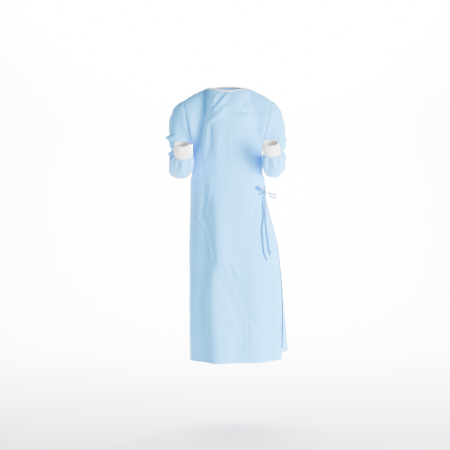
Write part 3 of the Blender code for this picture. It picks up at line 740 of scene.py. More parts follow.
def rib_knit(name, light, painted_shade, wale):
    """Rows of small loops across ribs a wale apart, with painted shade in the low places between the
    loops.
    """
    knit = Recipe(name, light, 0.85, 0.5, 0.10)
    uv, across, up = knit.on_cloth()
    side = knit.maths("MULTIPLY", across, 2 * math.pi / wale)
    slant = knit.maths("MULTIPLY", knit.maths("ABSOLUTE", knit.maths("SINE", side)), 1.9)
    row = knit.maths("MULTIPLY", up, 2 * math.pi / LOOP_ROW)
    loops = knit.maths("SINE", knit.maths("ADD", row, slant))
    height = knit.maths("ADD", knit.maths("MULTIPLY", loops, 0.6), knit.noise(uv, 1100, 4))
    # Painted shade: the lower the knit's height, the nearer its colour is to the shaded one.
    share = knit.maths("SUBTRACT", 0.75, knit.maths("MULTIPLY", height, 0.5))
    knit.colour(knit.node("ShaderNodeClamp", [(0, share)]).outputs[0], light, painted_shade)
    knit.bump(height, 0.0003, 0.7)
    return knit.material


# The second colour of each knit is painted shade for the hollows between its loops.
white_knit = rib_knit("rib_knit_white", (0.93, 0.92, 0.895), (0.80, 0.79, 0.765), 0.0030)
binding_knit = rib_knit("knit_tape_cream", (0.96, 0.935, 0.860), (0.86, 0.83, 0.75), 0.0026)
print("a row of loops every", LOOP_ROW * 1000, "mm")

# %% [markdown]
# ## Thread and hook-and-loop
# Sewing thread is too thin to show its twist from here, and a fastener's pile is a short
# felt. One colour, broken up by fine fibres and a little relief, does for both.

# %% Thread and hook-and-loop
def plain_fibre(name, colour, roughness, scale, distance):
    """Thread, or a short pile: one colour broken up by its own fine fibres."""
    fibre = Recipe(name, colour, roughness, 0.3)
    strands = fibre.noise(fibre.node("ShaderNodeTexCoord").outputs["Object"], scale, 4)
    fibre.colour(strands, colour, tuple(0.82 * c for c in colour))
    fibre.bump(strands, distance, 0.6)
    return fibre.material


blue_thread = plain_fibre("blue_thread", (0.20, 0.56, 0.92), 0.6, 2600, 0.0001)
white_thread = plain_fibre("white_thread", (0.88, 0.88, 0.86), 0.6, 2600, 0.0001)
fastener_pile = plain_fibre("fastener_pile", (0.84, 0.87, 0.89), 0.9, 1400, 0.0004)
print(len(bpy.data.materials), "materials")

# %% [markdown]
# ## Ties
# Two flat ties meet in a bow at the wearer's left, one sewn to the front and one to the edge
# of the outer back. Each is a strip of the gown's cloth, folded to about 8 mm and pinched
# where it goes into the knot. A tie follows a route of points, as a tape does that hangs:
# the two long tails are free cords, which hang limp from the knot down the front of the
# skirt. The loops are short and stand off. The routes are those of the CAD solids.

# %% Tie routes
KNOT_PLACE = (0.1480, -0.4495)      # x and z on the front
KNOT_LIFT = 0.0085
KNOT_HALF = (0.0068, 0.0050, 0.0074)
KNOT_PINCH = 0.45                   # the share of its width that a tie keeps at the knot
KNOT_CLEAR = 0.0007
ALONG, OUTWARD = Vector((0.60, 0.80, 0.0)), Vector((0.80, -0.60, 0.0))
UP = Vector((0.0, 0.0, 1.0))
ROUTE_PIECES = 9                    # finer than the solids' routes


def smooth_route(points):
    """A smooth line of places through a few points."""
    rows = [(float(index), *point) for index, point in enumerate(points)]
    count = (len(points) - 1) * ROUTE_PIECES
    return [Vector(table(rows, k / ROUTE_PIECES)) for k in range(count + 1)]


def on_front(x, z, lift):
    """The place over the front's face at x and z, lifted from it."""
    low, high = 0.0, 90.0
    for _ in range(24):
        middle = (low + high) / 2
        if ring_point(middle, z).x < x:
            low = middle
        else:
            high = middle
    sine, cosine = circle_of(low)
    return ring_point(low, z) + Vector((sine, -cosine, 0.0)) * lift


def knot_face(along, outward, up):
    """A place on the knot's face, from its centre in shares of the half sizes."""
    pull = 1 - 0.10 * math.sin(1.5 * math.atan2(up, along)) ** 2
    return (on_front(*KNOT_PLACE, KNOT_LIFT) + ALONG * (KNOT_HALF[0] * along * pull)
            + OUTWARD * (KNOT_HALF[1] * outward) + UP * (KNOT_HALF[2] * up * pull))


def leave_knot(along, outward, up):
    """Just off the knot's face, in a direction given along the belt, outward and up."""
    shares = Vector((along / KNOT_HALF[0], outward / KNOT_HALF[1], up / KNOT_HALF[2])).normalized()
    direction = ALONG * along + OUTWARD * outward + UP * up
    return knot_face(*shares) + direction.normalized() * KNOT_CLEAR


print("knot at", [round(c, 4) for c in on_front(*KNOT_PLACE, KNOT_LIFT)])


# %% [markdown]
# ## Routes of tapes
# A route is a list of places, each with the way across the tape and the share of its width
# that it has there. Near the knot that share is small, as if the knot pinched the tape. A
# tail is turned a little from place to place, because a hanging tape never stays flat.

# %% Routes of tapes
def tape_route(points, across):
    """A tape's route, gathered in where it leaves the knot."""
    knot = on_front(*KNOT_PLACE, KNOT_LIFT)
    return [(point, across, lerp(KNOT_PINCH, 1.0, smooth(0.008, 0.022, (point - knot).length)))
            for point in smooth_route(points)]


def tail_route(start, places, lift, lean):
    """A tail that hangs from the knot down the front and turns a little."""
    route = tape_route([start] + [on_front(x, z, lift) for x, z in places], UP)
    turned = []
    for index, (point, _, share) in enumerate(route):
        turn = lean * math.sin(math.pi * index / len(route) * 1.6)
        level = on_front(point.x + 0.004, point.z, 0.0) - on_front(point.x - 0.004, point.z, 0.0)
        turned.append((point, level.normalized() * math.cos(turn) + UP * math.sin(turn), share))
    return turned


def route_length(route):
    return sum((route[k + 1][0] - route[k][0]).length for k in range(len(route) - 1))


short = tape_route([on_front(0.10, -0.45, 0.0), on_front(0.14, -0.45, 0.0)], UP)
print("a route round the waist", round(route_length(short) * 1000, 1), "mm long")

# %% [markdown]
# ## Making a tape
# A folded tie is rounded at its fold, and its open edge shows two layers. An outline, 17
# points round, says this, and it is carried along the route. The outline is narrowed with the
# tie's share of its width, so the pinched end looks gathered. The UV map holds the way across
# and along in metres, for the cloth's pattern. The neck's binding is made in the same way.

# %% Tape
TIE_WIDTH, TIE_THICK = 0.0082, 0.0014
SMOOTH_UNDER_DEG = 50       # sharper edges than this stay edges
TIE_OUTLINE = (
    # across and up, in half widths and half thicknesses
    (-1.00, -0.30), (-0.93, -0.90), (-0.60, -1.00), (-0.20, -0.86), (0.20, -0.86), (0.60, -1.00),
    (0.95, -0.80), (1.00, -0.18), (0.90, 0.00), (1.00, 0.18), (0.95, 0.80), (0.60, 1.00),
    (0.20, 0.86), (-0.20, 0.86), (-0.60, 1.00), (-0.93, 0.90), (-1.00, 0.30),
)


def dress(piece, material, slot, replaced=()):
    """The last steps that every piece shares: its material, its body, its nodes; the slot is not used.
    """
    piece.data.materials.clear()
    piece.data.materials.append(material)
    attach(piece, "root")
    if replaced:
        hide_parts(*replaced)
    return piece


def new_piece(name, points, faces):
    """A new mesh object in the scene, selected and active."""
    mesh = bpy.data.meshes.new(name)
    mesh.from_pydata([tuple(p) for p in points], [], faces)
    piece = bpy.data.objects.new(name, mesh)
    bpy.context.scene.collection.objects.link(piece)
    bpy.ops.object.select_all(action="DESELECT")
    piece.select_set(True)
    bpy.context.view_layer.objects.active = piece
    return piece


def add_tape(name, route, outline, size, material, slot, replaced, crumple):
    """A tape of a width and thickness along a route of (point, way across, share of width)."""
    points, faces, coordinates = [], [], []
    count, travelled = len(outline), 0.0
    for index, (centre, across, share) in enumerate(route):
        before = route[max(0, index - 1)][0]
        after = route[min(len(route) - 1, index + 1)][0]
        travelled += (centre - before).length
        way = (after - before).normalized()
        across = (across - way * across.dot(way)).normalized()
        face = way.cross(across)
        for s, h in outline:
            wave = crumple * noise.noise(Vector((travelled * 90, s * 1.5, 3.0)))
            swell = 1 + 0.5 * (1 - share)
            points.append(centre + across * (s * share * size[0] / 2)
                          + face * (h * swell * size[1] / 2 + wave))
            coordinates.append((s * size[0] / 2, travelled))
    for index in range(len(route) - 1):
        base = index * count
        for k in range(count):
            faces.append((base + k, base + (k + 1) % count, base + count + (k + 1) % count,
                          base + count + k))
    faces.append(tuple(range(count - 1, -1, -1)))
    faces.append(tuple(count * (len(route) - 1) + k for k in range(count)))
    piece = new_piece(name, points, faces)
    layer = piece.data.uv_layers.new(name="UVMap")
    for loop in piece.data.loops:
        layer.data[loop.index].uv = coordinates[loop.vertex_index]
    bpy.ops.object.shade_smooth_by_angle(angle=math.radians(SMOOTH_UNDER_DEG))
    return dress(piece, material, slot, replaced)


print("a tie is", len(TIE_OUTLINE), "points round")

# %% [markdown]
# ## The two tails
# The tails are free cords: each leaves the knot and ends in the open. They hang limp, so
# each route goes straight down from the knot with the small bends of its crumpled tape.

# %% The two tails
TAIL_FRONT_ROUTE = ((0.1465, -0.4800), (0.1455, -0.5030), (0.1470, -0.5520), (0.1405, -0.6020),
                    (0.1440, -0.6390), (0.1465, -0.6830), (0.1515, -0.7120), (0.1625, -0.7330))
TAIL_SIDE_ROUTE = ((0.1560, -0.4820), (0.1562, -0.5300), (0.1575, -0.5780), (0.1605, -0.6070),
                   (0.1655, -0.6530), (0.1705, -0.6910), (0.1765, -0.7020), (0.1745, -0.7150))
TAILS = (
    # node, way out of the knot, places on the front, lift, lean
    ("tie_tail_front", (-0.35, 0.20, -1.0), TAIL_FRONT_ROUTE, 0.0052, 0.35),
    ("tie_tail_side", (0.45, -0.15, -1.0), TAIL_SIDE_ROUTE, 0.0042, -0.25),
)
for node, way_out, places, lift, lean in TAILS:
    tail = tail_route(leave_knot(*way_out), places, lift, lean)
    piece = add_tape(node.replace("tie", "hanging"), tail, TIE_OUTLINE, (TIE_WIDTH, TIE_THICK),
                     tie_cloth, "tie_cloth", (node,), 0.0003)
    print(piece.name, "is", round(route_length(tail), 3), "m long")


# %% [markdown]
# ## The sewn ties and the bow's loops
# One tie is sewn to the outer back's edge and one to the front. Between the knot and the
# cloth each runs a few centimetres. The bow's two loops are open turns of the same tape that
# start and end in the knot, and the short end stands up behind it.

# %% The sewn ties and the bow's loops
TIE_LIFT = 0.0014
GAP = 0.0003                # kept between things that lie on each other
WAIST_Z = -0.446
knot_middle = on_front(*KNOT_PLACE, KNOT_LIFT)
belt = 1 + (ARMPIT_Z - WAIST_Z) / (ARMPIT_Z - HEM_Z)
sewn = [back_point(-1, u, belt) + Vector((TIE_LIFT + GAP, 0.0, 0.0)) for u in (0.93, 0.985)]
loop_start = leave_knot(-0.90, 0.45, 0.40)
side_start = leave_knot(0.80, 0.70, -0.10)
end_start = leave_knot(-0.10, 0.30, 1.0)
side_y = knot_middle.y + 0.002
BOW = {
    # node: points along the tape, and the way across it
    "tie_back": (sewn + [on_front(0.1605, -0.4475, 0.0060), leave_knot(1.0, -0.10, 0.05)], UP),
    "tie_front": ([on_front(0.1300, -0.4580, TIE_LIFT),
                   on_front(0.1370, -0.4560, TIE_LIFT + 0.0018),
                   leave_knot(-1.0, -0.25, -0.30)], UP),
    "tie_loop_front": ([loop_start, loop_start + Vector((-0.008, -0.009, 0.005)),
                        on_front(0.1215, -0.4300, 0.0170), on_front(0.1165, -0.4270, 0.0120),
                        on_front(0.1205, -0.4350, 0.0070), on_front(0.1320, -0.4420, 0.0065)],
                       Vector((0.25, 0.2, 0.95))),
    "tie_loop_side": ([side_start, side_start + Vector((0.013, -0.003, -0.003)),
                       Vector((0.1870, side_y - 0.013, -0.4570)),
                       Vector((0.2010, side_y - 0.011, -0.4585)),
                       Vector((0.2075, side_y - 0.005, -0.4680)),
                       Vector((0.2010, side_y - 0.001, -0.4735)),
                       Vector((0.1880, side_y, -0.4690)),
                       Vector((0.1760, side_y - 0.001, -0.4630))],
                      Vector((0.15, 0.55, 0.82))),
    "tie_end": ([end_start, end_start + Vector((-0.0010, -0.0010, 0.006)),
                 end_start + Vector((-0.0005, -0.0035, 0.012)),
                 end_start + Vector((0.0010, -0.0060, 0.017))], ALONG),
}
for node, (places, across) in BOW.items():
    route = tape_route(places, across)
    piece = add_tape(node.replace("tie", "bow"), route, TIE_OUTLINE, (TIE_WIDTH, TIE_THICK),
                     tie_cloth, "tie_cloth", (node,), 0.00025)
    print(piece.name, "is", round(route_length(route) * 1000), "mm long")

# %% [markdown]
# ## The knot
# A flat knot is a tie wrapped over itself. A ball primitive takes the knot's form, and then
# slanting wraps are pressed into it, deepest where one wrap goes under the next.

# %% Knot
GROOVE = 0.09               # depth of a groove, as a share of the knot
WRAP_FACE = 0.55            # how much of a wrap is its even face

bpy.ops.object.select_all(action="DESELECT")
bpy.ops.mesh.primitive_uv_sphere_add(segments=48, ring_count=28, radius=1.0, location=(0, 0, 0))
knot = bpy.context.object
knot.name = knot.data.name = "bow_knot"
for vertex in knot.data.vertices:
    x, y, z = vertex.co
    wrap = math.sin(3.2 * z + 2.1 * x + 0.6 * math.sin(3 * y))
    groove = GROOVE * max(0.0, abs(wrap) - WRAP_FACE) / (1 - WRAP_FACE)
    vertex.co = knot_face(*(Vector((x, -y, z)) * (1 - groove)))
for loop in knot.data.loops:
    knot.data.uv_layers[0].data[loop.index].uv *= 0.04
bpy.ops.object.shade_smooth()
dress(knot, tie_cloth, "tie_cloth", ("tie_knot",))
print("knot", [round(c * 1000, 1) for c in knot.dimensions], "mm")

# %% [markdown]
# ## Laying out cloth
# Every cloth piece starts as what a cutter would lay on the table: a flat grid. Each point
# of the grid is then placed on the worn form, and the piece's UV map keeps the flat sizes in
# metres. Fine creases are pushed in or out along the cloth's own normals, as a hand would
# press them, and last the sheet gets its thickness inwards from its face. This way the cloth
# keeps the lines that the solids have. A sleeve or cuff is a tube: its two long edges are
# brought together and merged before the thickness is given.

# %% Laying out cloth
WALL = 0.0015
ON_EDGE = 1e-5              # a share this near an edge of the grid is on it
MERGE = 0.00002
FOLD_UNDER_DEG = 55         # sharper edges than this stay edges


def lay_cloth(name, columns, rows, place, relief, flat, finish, replaced, tube=False, wall=WALL):
    """A grid laid on a form by place(u, v) and relief(u, v, point); finish: material, and a slot that
    is not used.
    """
    bpy.ops.object.select_all(action="DESELECT")
    bpy.ops.mesh.primitive_grid_add(x_subdivisions=columns, y_subdivisions=rows, size=1,
                                    location=(0, 0, 0))
    piece = bpy.context.object
    piece.name = piece.data.name = name
    mesh = piece.data
    shares = [(vertex.co.x + 0.5, 0.5 - vertex.co.y) for vertex in mesh.vertices]
    for vertex, (u, v) in zip(mesh.vertices, shares):
        vertex.co = place(u, v)
    for loop in mesh.uv_layers[0].data:
        loop.uv = (loop.uv[0] * flat[0], loop.uv[1] * flat[1])
    mesh.update()
    moves = [vertex.normal * relief(u, v, vertex.co)
             for vertex, (u, v) in zip(mesh.vertices, shares)]
    if tube:
        low = {round(v, 5): k for k, (u, v) in enumerate(shares) if u < ON_EDGE}
        for k, (u, v) in enumerate(shares):
            if u > 1 - ON_EDGE:
                other = low[round(v, 5)]
                moves[k] = moves[other] = (moves[k] + moves[other]) / 2
    for vertex, move in zip(mesh.vertices, moves):
        vertex.co += move
    if tube:
        bpy.ops.object.mode_set(mode="EDIT")
        bpy.ops.mesh.select_all(action="SELECT")
        bpy.ops.mesh.remove_doubles(threshold=MERGE)
        bpy.ops.object.mode_set(mode="OBJECT")
    area = sum(face.area for face in mesh.polygons)
    thicken = piece.modifiers.new("Cloth wall", "SOLIDIFY")
    thicken.thickness = wall
    thicken.offset = -1.0
    thicken.use_even_offset = True
    bpy.ops.object.modifier_apply(modifier=thicken.name)
    bpy.ops.object.shade_smooth_by_angle(angle=math.radians(FOLD_UNDER_DEG))
    dress(piece, *finish, replaced)
    print(name, "area", round(area, 3), "m2,", len(mesh.polygons), "faces")
    return piece


print("cloth", WALL * 1000, "mm thick")

# %% [markdown]
# ## Creases
# Light nonwoven holds sharp creases from its packing and from the arms. One crease is a line
# from a place to another with a half width and a height, soft at both ends. Its section is
# a little more pointed than a bell, as in creased paper. A slow noise adds the rumpling
# between the creases, and a dip rolls the cloth in at its seams.

# %% Creases
CREASE_FADE = 0.18          # how far past its ends a crease fades, in lengths
CREASE_POINT = 1.5          # 2 would be a bell, and less is more pointed
HEM_FOLD = 0.016            # how high the hem is folded up
HEM_STEP = 0.0005           # and how thick its fold stands
STITCH_LINE = 0.002         # how far a row of stitches is from the fold's end


def crease(x, z, x_top, z_top, x_low, z_low, half, height):
    """How high one crease stands at a place."""
    span_x, span_z = x_low - x_top, z_low - z_top
    length = math.hypot(span_x, span_z)
    along = ((x - x_top) * span_x + (z - z_top) * span_z) / (length * length)
    if along < -CREASE_FADE or along > 1 + CREASE_FADE:
        return 0.0
    offset = ((x - x_top) * span_z - (z - z_top) * span_x) / length / half
    if abs(offset) > 3.5:
        return 0.0
    ends = (smooth(-CREASE_FADE, CREASE_FADE, along)
            * (1 - smooth(1 - CREASE_FADE, 1 + CREASE_FADE, along)))
    return height * ends * math.exp(-abs(offset) ** CREASE_POINT)


def creases_at(rows, x, z):
    """The sum of a table's creases at a place."""
    return sum(crease(x, z, *row) for row in rows)


def rumple(point, size, height, seed):
    """A little uneven rumpling, longer down the gown than across it."""
    where = Vector((point.x / size, point.y / size, point.z / (2.2 * size) + seed))
    return height * noise.noise(where)


def seam_dip(distance, depth=0.0012, reach=0.005):
    """How far cloth rolls in towards a seam, by its distance from it."""
    return -depth * math.exp(-(distance / reach) ** 2)


def stitch_dip(above_fold):
    """The narrow line that a row of stitches presses into a fold, near the fold's end."""
    return -0.0006 * math.exp(-((above_fold + STITCH_LINE) / 0.0012) ** 2)


def hem_step(above_edge):
    """The folded hem stands a little proud, and its stitches press a line at its top."""
    stand = HEM_STEP * (1 - smooth(HEM_FOLD - 0.001, HEM_FOLD + 0.001, above_edge))
    return stand + stitch_dip(above_edge - HEM_FOLD)


print("top of the hem's fold stands", round(hem_step(HEM_FOLD - 0.006) * 1000, 2), "mm proud")

# %% [markdown]
# ## Where the front creases
# The front's creases are listed in a table: soft diagonals from the neck, long
# uprights below the chest, crossing diagonals at the wearer's right hip where the cloth was
# folded, a narrow upright and a few short level packing creases on the skirt. Three long
# folds have a crisp crest, so they climb on one side and fade on the other.

# %% Front creases
FRONT_CREASES = (
    # x and z at the top, x and z at the bottom, half width, height
    (0.006, -0.026, -0.062, -0.112, 0.009, 0.0045),
    (-0.014, -0.030, -0.052, -0.078, 0.009, -0.0037),
    (-0.052, -0.040, -0.058, -0.078, 0.006, 0.0022),
    (0.088, -0.040, 0.038, -0.120, 0.014, -0.0042),
    (0.108, -0.070, 0.070, -0.140, 0.010, 0.0030),
    (-0.090, -0.120, 0.000, -0.128, 0.012, 0.0022),
    (0.010, -0.120, 0.090, -0.128, 0.012, 0.0025),
    (-0.072, -0.165, -0.068, -0.270, 0.006, -0.0032),
    (-0.084, -0.180, -0.088, -0.260, 0.006, 0.0022),
    (0.008, -0.190, 0.014, -0.330, 0.006, 0.0022),
    (0.022, -0.210, 0.020, -0.300, 0.006, -0.0018),
    (-0.040, -0.205, -0.046, -0.330, 0.009, 0.0020),
    (0.056, -0.215, 0.050, -0.310, 0.009, -0.0020),
    (-0.118, -0.250, -0.100, -0.400, 0.010, -0.0028),
    (-0.150, -0.410, -0.114, -0.484, 0.0045, 0.0035),
    (-0.114, -0.484, -0.124, -0.560, 0.0045, 0.0032),
    (-0.140, -0.400, -0.124, -0.470, 0.006, -0.0030),
    (-0.068, -0.405, -0.080, -0.484, 0.0045, 0.0032),
    (-0.080, -0.484, -0.090, -0.560, 0.0045, 0.0028),
    (-0.098, -0.420, -0.098, -0.520, 0.007, -0.0032),
    (-0.124, -0.560, -0.086, -0.620, 0.005, 0.0032),
    (-0.110, -0.530, -0.072, -0.600, 0.005, -0.0028),
    (-0.086, -0.620, -0.066, -0.720, 0.005, 0.0028),
    (-0.074, -0.640, -0.050, -0.740, 0.006, -0.0025),
    (-0.020, -0.710, 0.012, -0.800, 0.008, 0.0040),
    (0.008, -0.715, 0.046, -0.810, 0.007, 0.0037),
    (-0.006, -0.730, 0.030, -0.812, 0.006, -0.0030),
    (0.048, -0.480, 0.034, -0.640, 0.010, -0.0020),
    (0.020, -0.520, 0.052, -0.700, 0.012, 0.0020),
    (-0.040, -0.790, 0.010, -0.900, 0.012, -0.0030),
    (0.020, -0.830, 0.056, -0.940, 0.010, 0.0022),
    (0.000, -0.850, 0.030, -0.960, 0.009, -0.0022),
    (-0.016, -0.980, 0.024, -1.060, 0.010, -0.0028),
    (0.010, -0.960, 0.050, -1.060, 0.010, 0.0022),
    (0.084, -0.960, 0.140, -1.040, 0.010, -0.0025),
    (0.100, -0.940, 0.160, -1.030, 0.012, 0.0020),
    (0.083, -0.960, 0.082, -1.150, 0.0026, -0.0028),
    (0.078, -0.960, 0.077, -1.150, 0.005, 0.0018),
    (0.072, -1.060, 0.071, -1.150, 0.002, -0.0015),
    (0.045, -0.662, 0.145, -0.660, 0.003, -0.0015),
    (0.045, -0.668, 0.145, -0.666, 0.006, 0.0013),
    (0.096, -0.898, 0.166, -0.896, 0.003, -0.0014),
    (0.096, -0.904, 0.166, -0.902, 0.005, 0.0010),
    (0.120, -1.030, 0.196, -1.026, 0.003, -0.0010),
    (0.140, -0.540, 0.152, -0.760, 0.012, 0.0022),
    (0.020, -0.960, 0.012, -1.160, 0.014, 0.0022),
    (0.150, -0.980, 0.158, -1.160, 0.012, -0.0020),
    (-0.010, -0.350, 0.060, -0.345, 0.010, 0.0013),
    (0.110, -0.380, 0.140, -0.450, 0.008, -0.0025),
    (0.090, -0.400, 0.128, -0.455, 0.009, 0.0028),
    (0.142, -0.462, 0.120, -0.560, 0.008, 0.0030),
    (0.128, -0.470, 0.100, -0.590, 0.009, -0.0022),
    (-0.150, -0.800, -0.146, -1.160, 0.008, 0.0037),
    (-0.118, -0.820, -0.112, -1.150, 0.010, -0.0018),
)
FRONT_RIDGES = (
    # x and z at the top, x and z at the bottom, rise on the left, fall on the right, height
    (-0.058, -0.430, -0.036, -0.770, 0.045, 0.110, 0.0065),
    (-0.076, -0.800, -0.050, -1.230, 0.050, 0.120, 0.0080),
    (-0.010, -0.860, 0.004, -1.230, 0.030, 0.070, 0.0030),
)


def ridge(x, z, x_top, z_top, x_low, z_low, rise, fall, height):
    """A long fold with a crisp crest: it climbs from its left and fades to its right."""
    along = (z_top - z) / (z_top - z_low)
    if along < -0.12 or along > 1.12:
        return 0.0
    offset = x - lerp(x_top, x_low, along)
    ends = smooth(-0.12, 0.14, along) * (1 - smooth(0.90, 1.12, along))
    if offset < 0:
        return height * ends * max(0.0, 1 + offset / rise) ** 1.7
    return height * ends * (1 - smooth(0.0, fall, offset))


print(len(FRONT_CREASES), "creases and", len(FRONT_RIDGES), "long folds")

# %% [markdown]
# ## Front
# The front is one panel from the neckline to the hem, 1.2 m long, with no seam down it. Its
# relief is the sum of its creases, its rumpling, the roll at its seams with the small
# puckers that sewing draws, and the hem, which is folded up and stitched.

# %% Front
FRONT_FLAT = (0.576, 1.197)
FRONT_WIDTH, YOKE_HEIGHT = 0.50, 0.25       # about, for distances to the seams
YOKE_SHARE = 0.22           # of a panel's length that is above the armpit
PUCKER_PITCH = 0.011


def level_of(v):
    """A share of the panel's length becomes its level: 0 the top, 1 the armpit, 2 the hem."""
    return v / YOKE_SHARE if v < YOKE_SHARE else 1 + (v - YOKE_SHARE) / (1 - YOKE_SHARE)


def front_relief(u, v, point):
    """The front's creases, its rumpling, and how it rolls in at its seams."""
    level = level_of(v)
    height = creases_at(FRONT_CREASES, point.x, point.z)
    height += sum(ridge(point.x, point.z, *row) for row in FRONT_RIDGES)
    height += rumple(point, 0.050, 0.0018, 1.0) + rumple(point, 0.017, 0.0005, 5.0)
    side = 0.5 - abs(u - 0.5)
    hold = smooth(0.0, 0.035, side) * smooth(0.0, 0.035, level)
    height = height * hold + seam_dip(side * FRONT_WIDTH)
    if level < 1 and abs(u - 0.5) > 0.25:
        height += seam_dip(level * YOKE_HEIGHT)
    wave = point.z * 2 * math.pi / PUCKER_PITCH + 3 * math.sin(point.z * 40)
    height += 0.0006 * math.sin(wave) * math.exp(-(side * FRONT_WIDTH / 0.010) ** 2)
    return height + hem_step((2 - level) * (ARMPIT_Z - HEM_Z))


def front_place(u, v):
    return front_point(2 * u - 1, level_of(v))


front_piece = lay_cloth("gown_front", 164, 288, front_place, front_relief, FRONT_FLAT,
                        (gown_cloth, "gown_cloth"), ("front_panel",))

# %% [markdown]
# ## Where the backs crease
# The backs are creased as the front is, more at the waist, where the ties draw the cloth
# in. Both share one table, so that they lie in each other.

# %% Back creases
BACK_CREASES = (
    # the same columns as the front's
    (0.060, -0.060, 0.030, -0.180, 0.012, 0.0030),
    (-0.050, -0.080, -0.080, -0.210, 0.012, -0.0030),
    (0.130, -0.300, 0.060, -0.460, 0.010, 0.0036),
    (-0.130, -0.320, -0.050, -0.470, 0.010, 0.0033),
    (0.000, -0.300, 0.010, -0.470, 0.011, -0.0030),
    (0.150, -0.450, 0.100, -0.700, 0.010, 0.0030),
    (0.090, -0.460, 0.110, -0.760, 0.011, -0.0030),
    (-0.100, -0.450, -0.140, -0.720, 0.010, 0.0033),
    (-0.060, -0.470, -0.060, -0.780, 0.012, -0.0027),
    (0.020, -0.520, 0.000, -0.900, 0.013, 0.0027),
    (-0.140, -0.760, -0.120, -1.160, 0.011, -0.0030),
    (-0.070, -0.860, -0.080, -1.160, 0.012, 0.0027),
    (0.060, -0.900, 0.080, -1.160, 0.013, -0.0027),
    (0.150, -0.820, 0.170, -1.160, 0.011, 0.0030),
    (-0.100, -0.662, 0.100, -0.660, 0.003, -0.0010),
    (-0.120, -0.925, 0.120, -0.922, 0.003, -0.0010),
)
print(len(BACK_CREASES), "creases")

# %% [markdown]
# ## Backs
# The gown opens down the back. The inner back, the wearer's left one, lies under the outer
# one, which wraps round to the wearer's left side and is tied there. Both have a narrow
# turned edge where they end, held by a row of stitches.

# %% Backs
BACK_WIDTH = 0.45           # about, for distances to the seams
EDGE_FOLD = 0.010           # the turned edge down each back


def back_relief(side):
    """The creases of one back, its rolled seams and its turned edge."""
    def relief(u, v, point):
        share = u if side > 0 else 1 - u
        level = level_of(v)
        height = creases_at(BACK_CREASES, point.x, point.z)
        height += rumple(point, 0.055, 0.0014, 9.0) + rumple(point, 0.018, 0.0004, 3.0)
        height *= smooth(0.0, 0.06, share) * smooth(0.0, 0.08, level)
        height += seam_dip(share * BACK_WIDTH)
        if level < 1 and share < 0.5:
            height += seam_dip(level * YOKE_HEIGHT)
        to_edge = (1 - share) * BACK_WIDTH
        height += stitch_dip(to_edge - EDGE_FOLD) * smooth(0.3, 0.5, level)
        return height + hem_step((2 - level) * (ARMPIT_Z - HEM_Z))
    return relief


def outer_place(u, v):
    return back_point(-1, 1 - u, level_of(v))


def inner_place(u, v):
    return back_point(1, u, level_of(v))


BACKS = (
    # name, grid, place, side, flat size
    ("outer", 110, 220, outer_place, -1, (0.571, 1.213)),
    ("inner", 90, 200, inner_place, 1, (0.452, 1.190)),
)
outer_piece, inner_piece = (
    lay_cloth(f"gown_back_{name}", columns, rows, place, back_relief(side), flat,
              (gown_cloth, "gown_cloth"), (f"back_panel_{name}",))
    for name, columns, rows, place, side, flat in BACKS)

# %% [markdown]
# ## Where the sleeves crease
# Folds press together in the crook of the elbow and fan out round its point, and the knit
# cuff gathers the sleeve's end. Each crease lies round the arm at a station along it, and
# may slant a little, so that no two are parallel.

# %% Sleeve creases
SLEEVE_CREASES = {
    "right": (
        # along the arm, angle round it, half length along, half angle, slant, height
        (-0.110, 20, 0.010, 50, 0.0002, -0.0027),
        (-0.080, 330, 0.009, 50, -0.0003, 0.0033),
        (-0.018, 350, 0.006, 60, 0.0000, -0.0036),
        (0.045, 60, 0.006, 70, 0.0001, 0.0039),
        (0.056, 100, 0.005, 70, 0.0000, -0.0045),
        (0.072, 60, 0.006, 60, -0.0001, 0.0036),
        (0.100, 100, 0.006, 60, 0.0001, 0.0033),
        (0.124, 60, 0.007, 60, 0.0002, -0.0030),
        (0.150, 330, 0.010, 40, 0.0004, 0.0033),
        (0.178, 20, 0.009, 50, -0.0003, -0.0033),
        (0.200, 270, 0.018, 12, 0.0006, 0.0039),
        (0.215, 320, 0.016, 12, -0.0004, -0.0039),
        (0.225, 220, 0.016, 12, 0.0000, 0.0033),
        (0.240, 60, 0.008, 70, 0.0000, 0.0030),
    ),
    "left": (
        (-0.120, 340, 0.010, 50, 0.0003, -0.0027),
        (-0.070, 30, 0.010, 50, -0.0002, 0.0030),
        (-0.005, 0, 0.006, 60, 0.0001, -0.0033),
        (0.050, 80, 0.005, 70, 0.0000, -0.0045),
        (0.062, 60, 0.006, 60, 0.0001, 0.0039),
        (0.090, 100, 0.006, 60, -0.0001, 0.0036),
        (0.115, 60, 0.007, 60, 0.0000, -0.0033),
        (0.142, 350, 0.009, 40, -0.0004, 0.0033),
        (0.170, 10, 0.010, 50, 0.0003, -0.0030),
        (0.196, 300, 0.018, 12, -0.0006, 0.0042),
        (0.214, 250, 0.016, 12, 0.0004, -0.0039),
        (0.230, 200, 0.016, 12, 0.0000, 0.0033),
        (0.244, 80, 0.008, 70, 0.0000, 0.0027),
    ),
}
print({which: len(rows) for which, rows in SLEEVE_CREASES.items()}, "creases")

# %% [markdown]
# ## Sleeves
# Each sleeve is one piece, sewn to a tube along the underarm and set into the armhole. The
# flat grid's two long edges meet at the underarm seam, next to the body. The head of the
# sleeve stays full and round.

# %% Sleeves
SLEEVE_FLAT = (0.400, 0.595)
SLEEVE_LENGTH = 0.42        # about, for distances to the seams
CAP_SHARE = 0.34            # of the sleeve's length that is its head
SLEEVE_END = CUFF_START - SEAM_GAP
TURNS = {"right": 360, "left": -360}    # degrees round the arm, so that both face outward
SEEDS = {"right": 12.0, "left": 21.0}


def station_of(v):
    """A share of the sleeve's length becomes its place along the arm, below the head."""
    return SLEEVE_END * (v - CAP_SHARE) / (1 - CAP_SHARE)


def sleeve_place(which):
    """Where one sleeve's grid goes."""
    def place(u, v):
        angle = 180 + TURNS[which] * u
        if v < CAP_SHARE:
            return cap_point(which, v / CAP_SHARE, angle)
        station = station_of(v)
        rise = sleeve_rise(which, station, angle)
        return around_arm(which, station, angle, SLEEVE_SECTIONS, SLEEVE_POWER, rise)
    return place


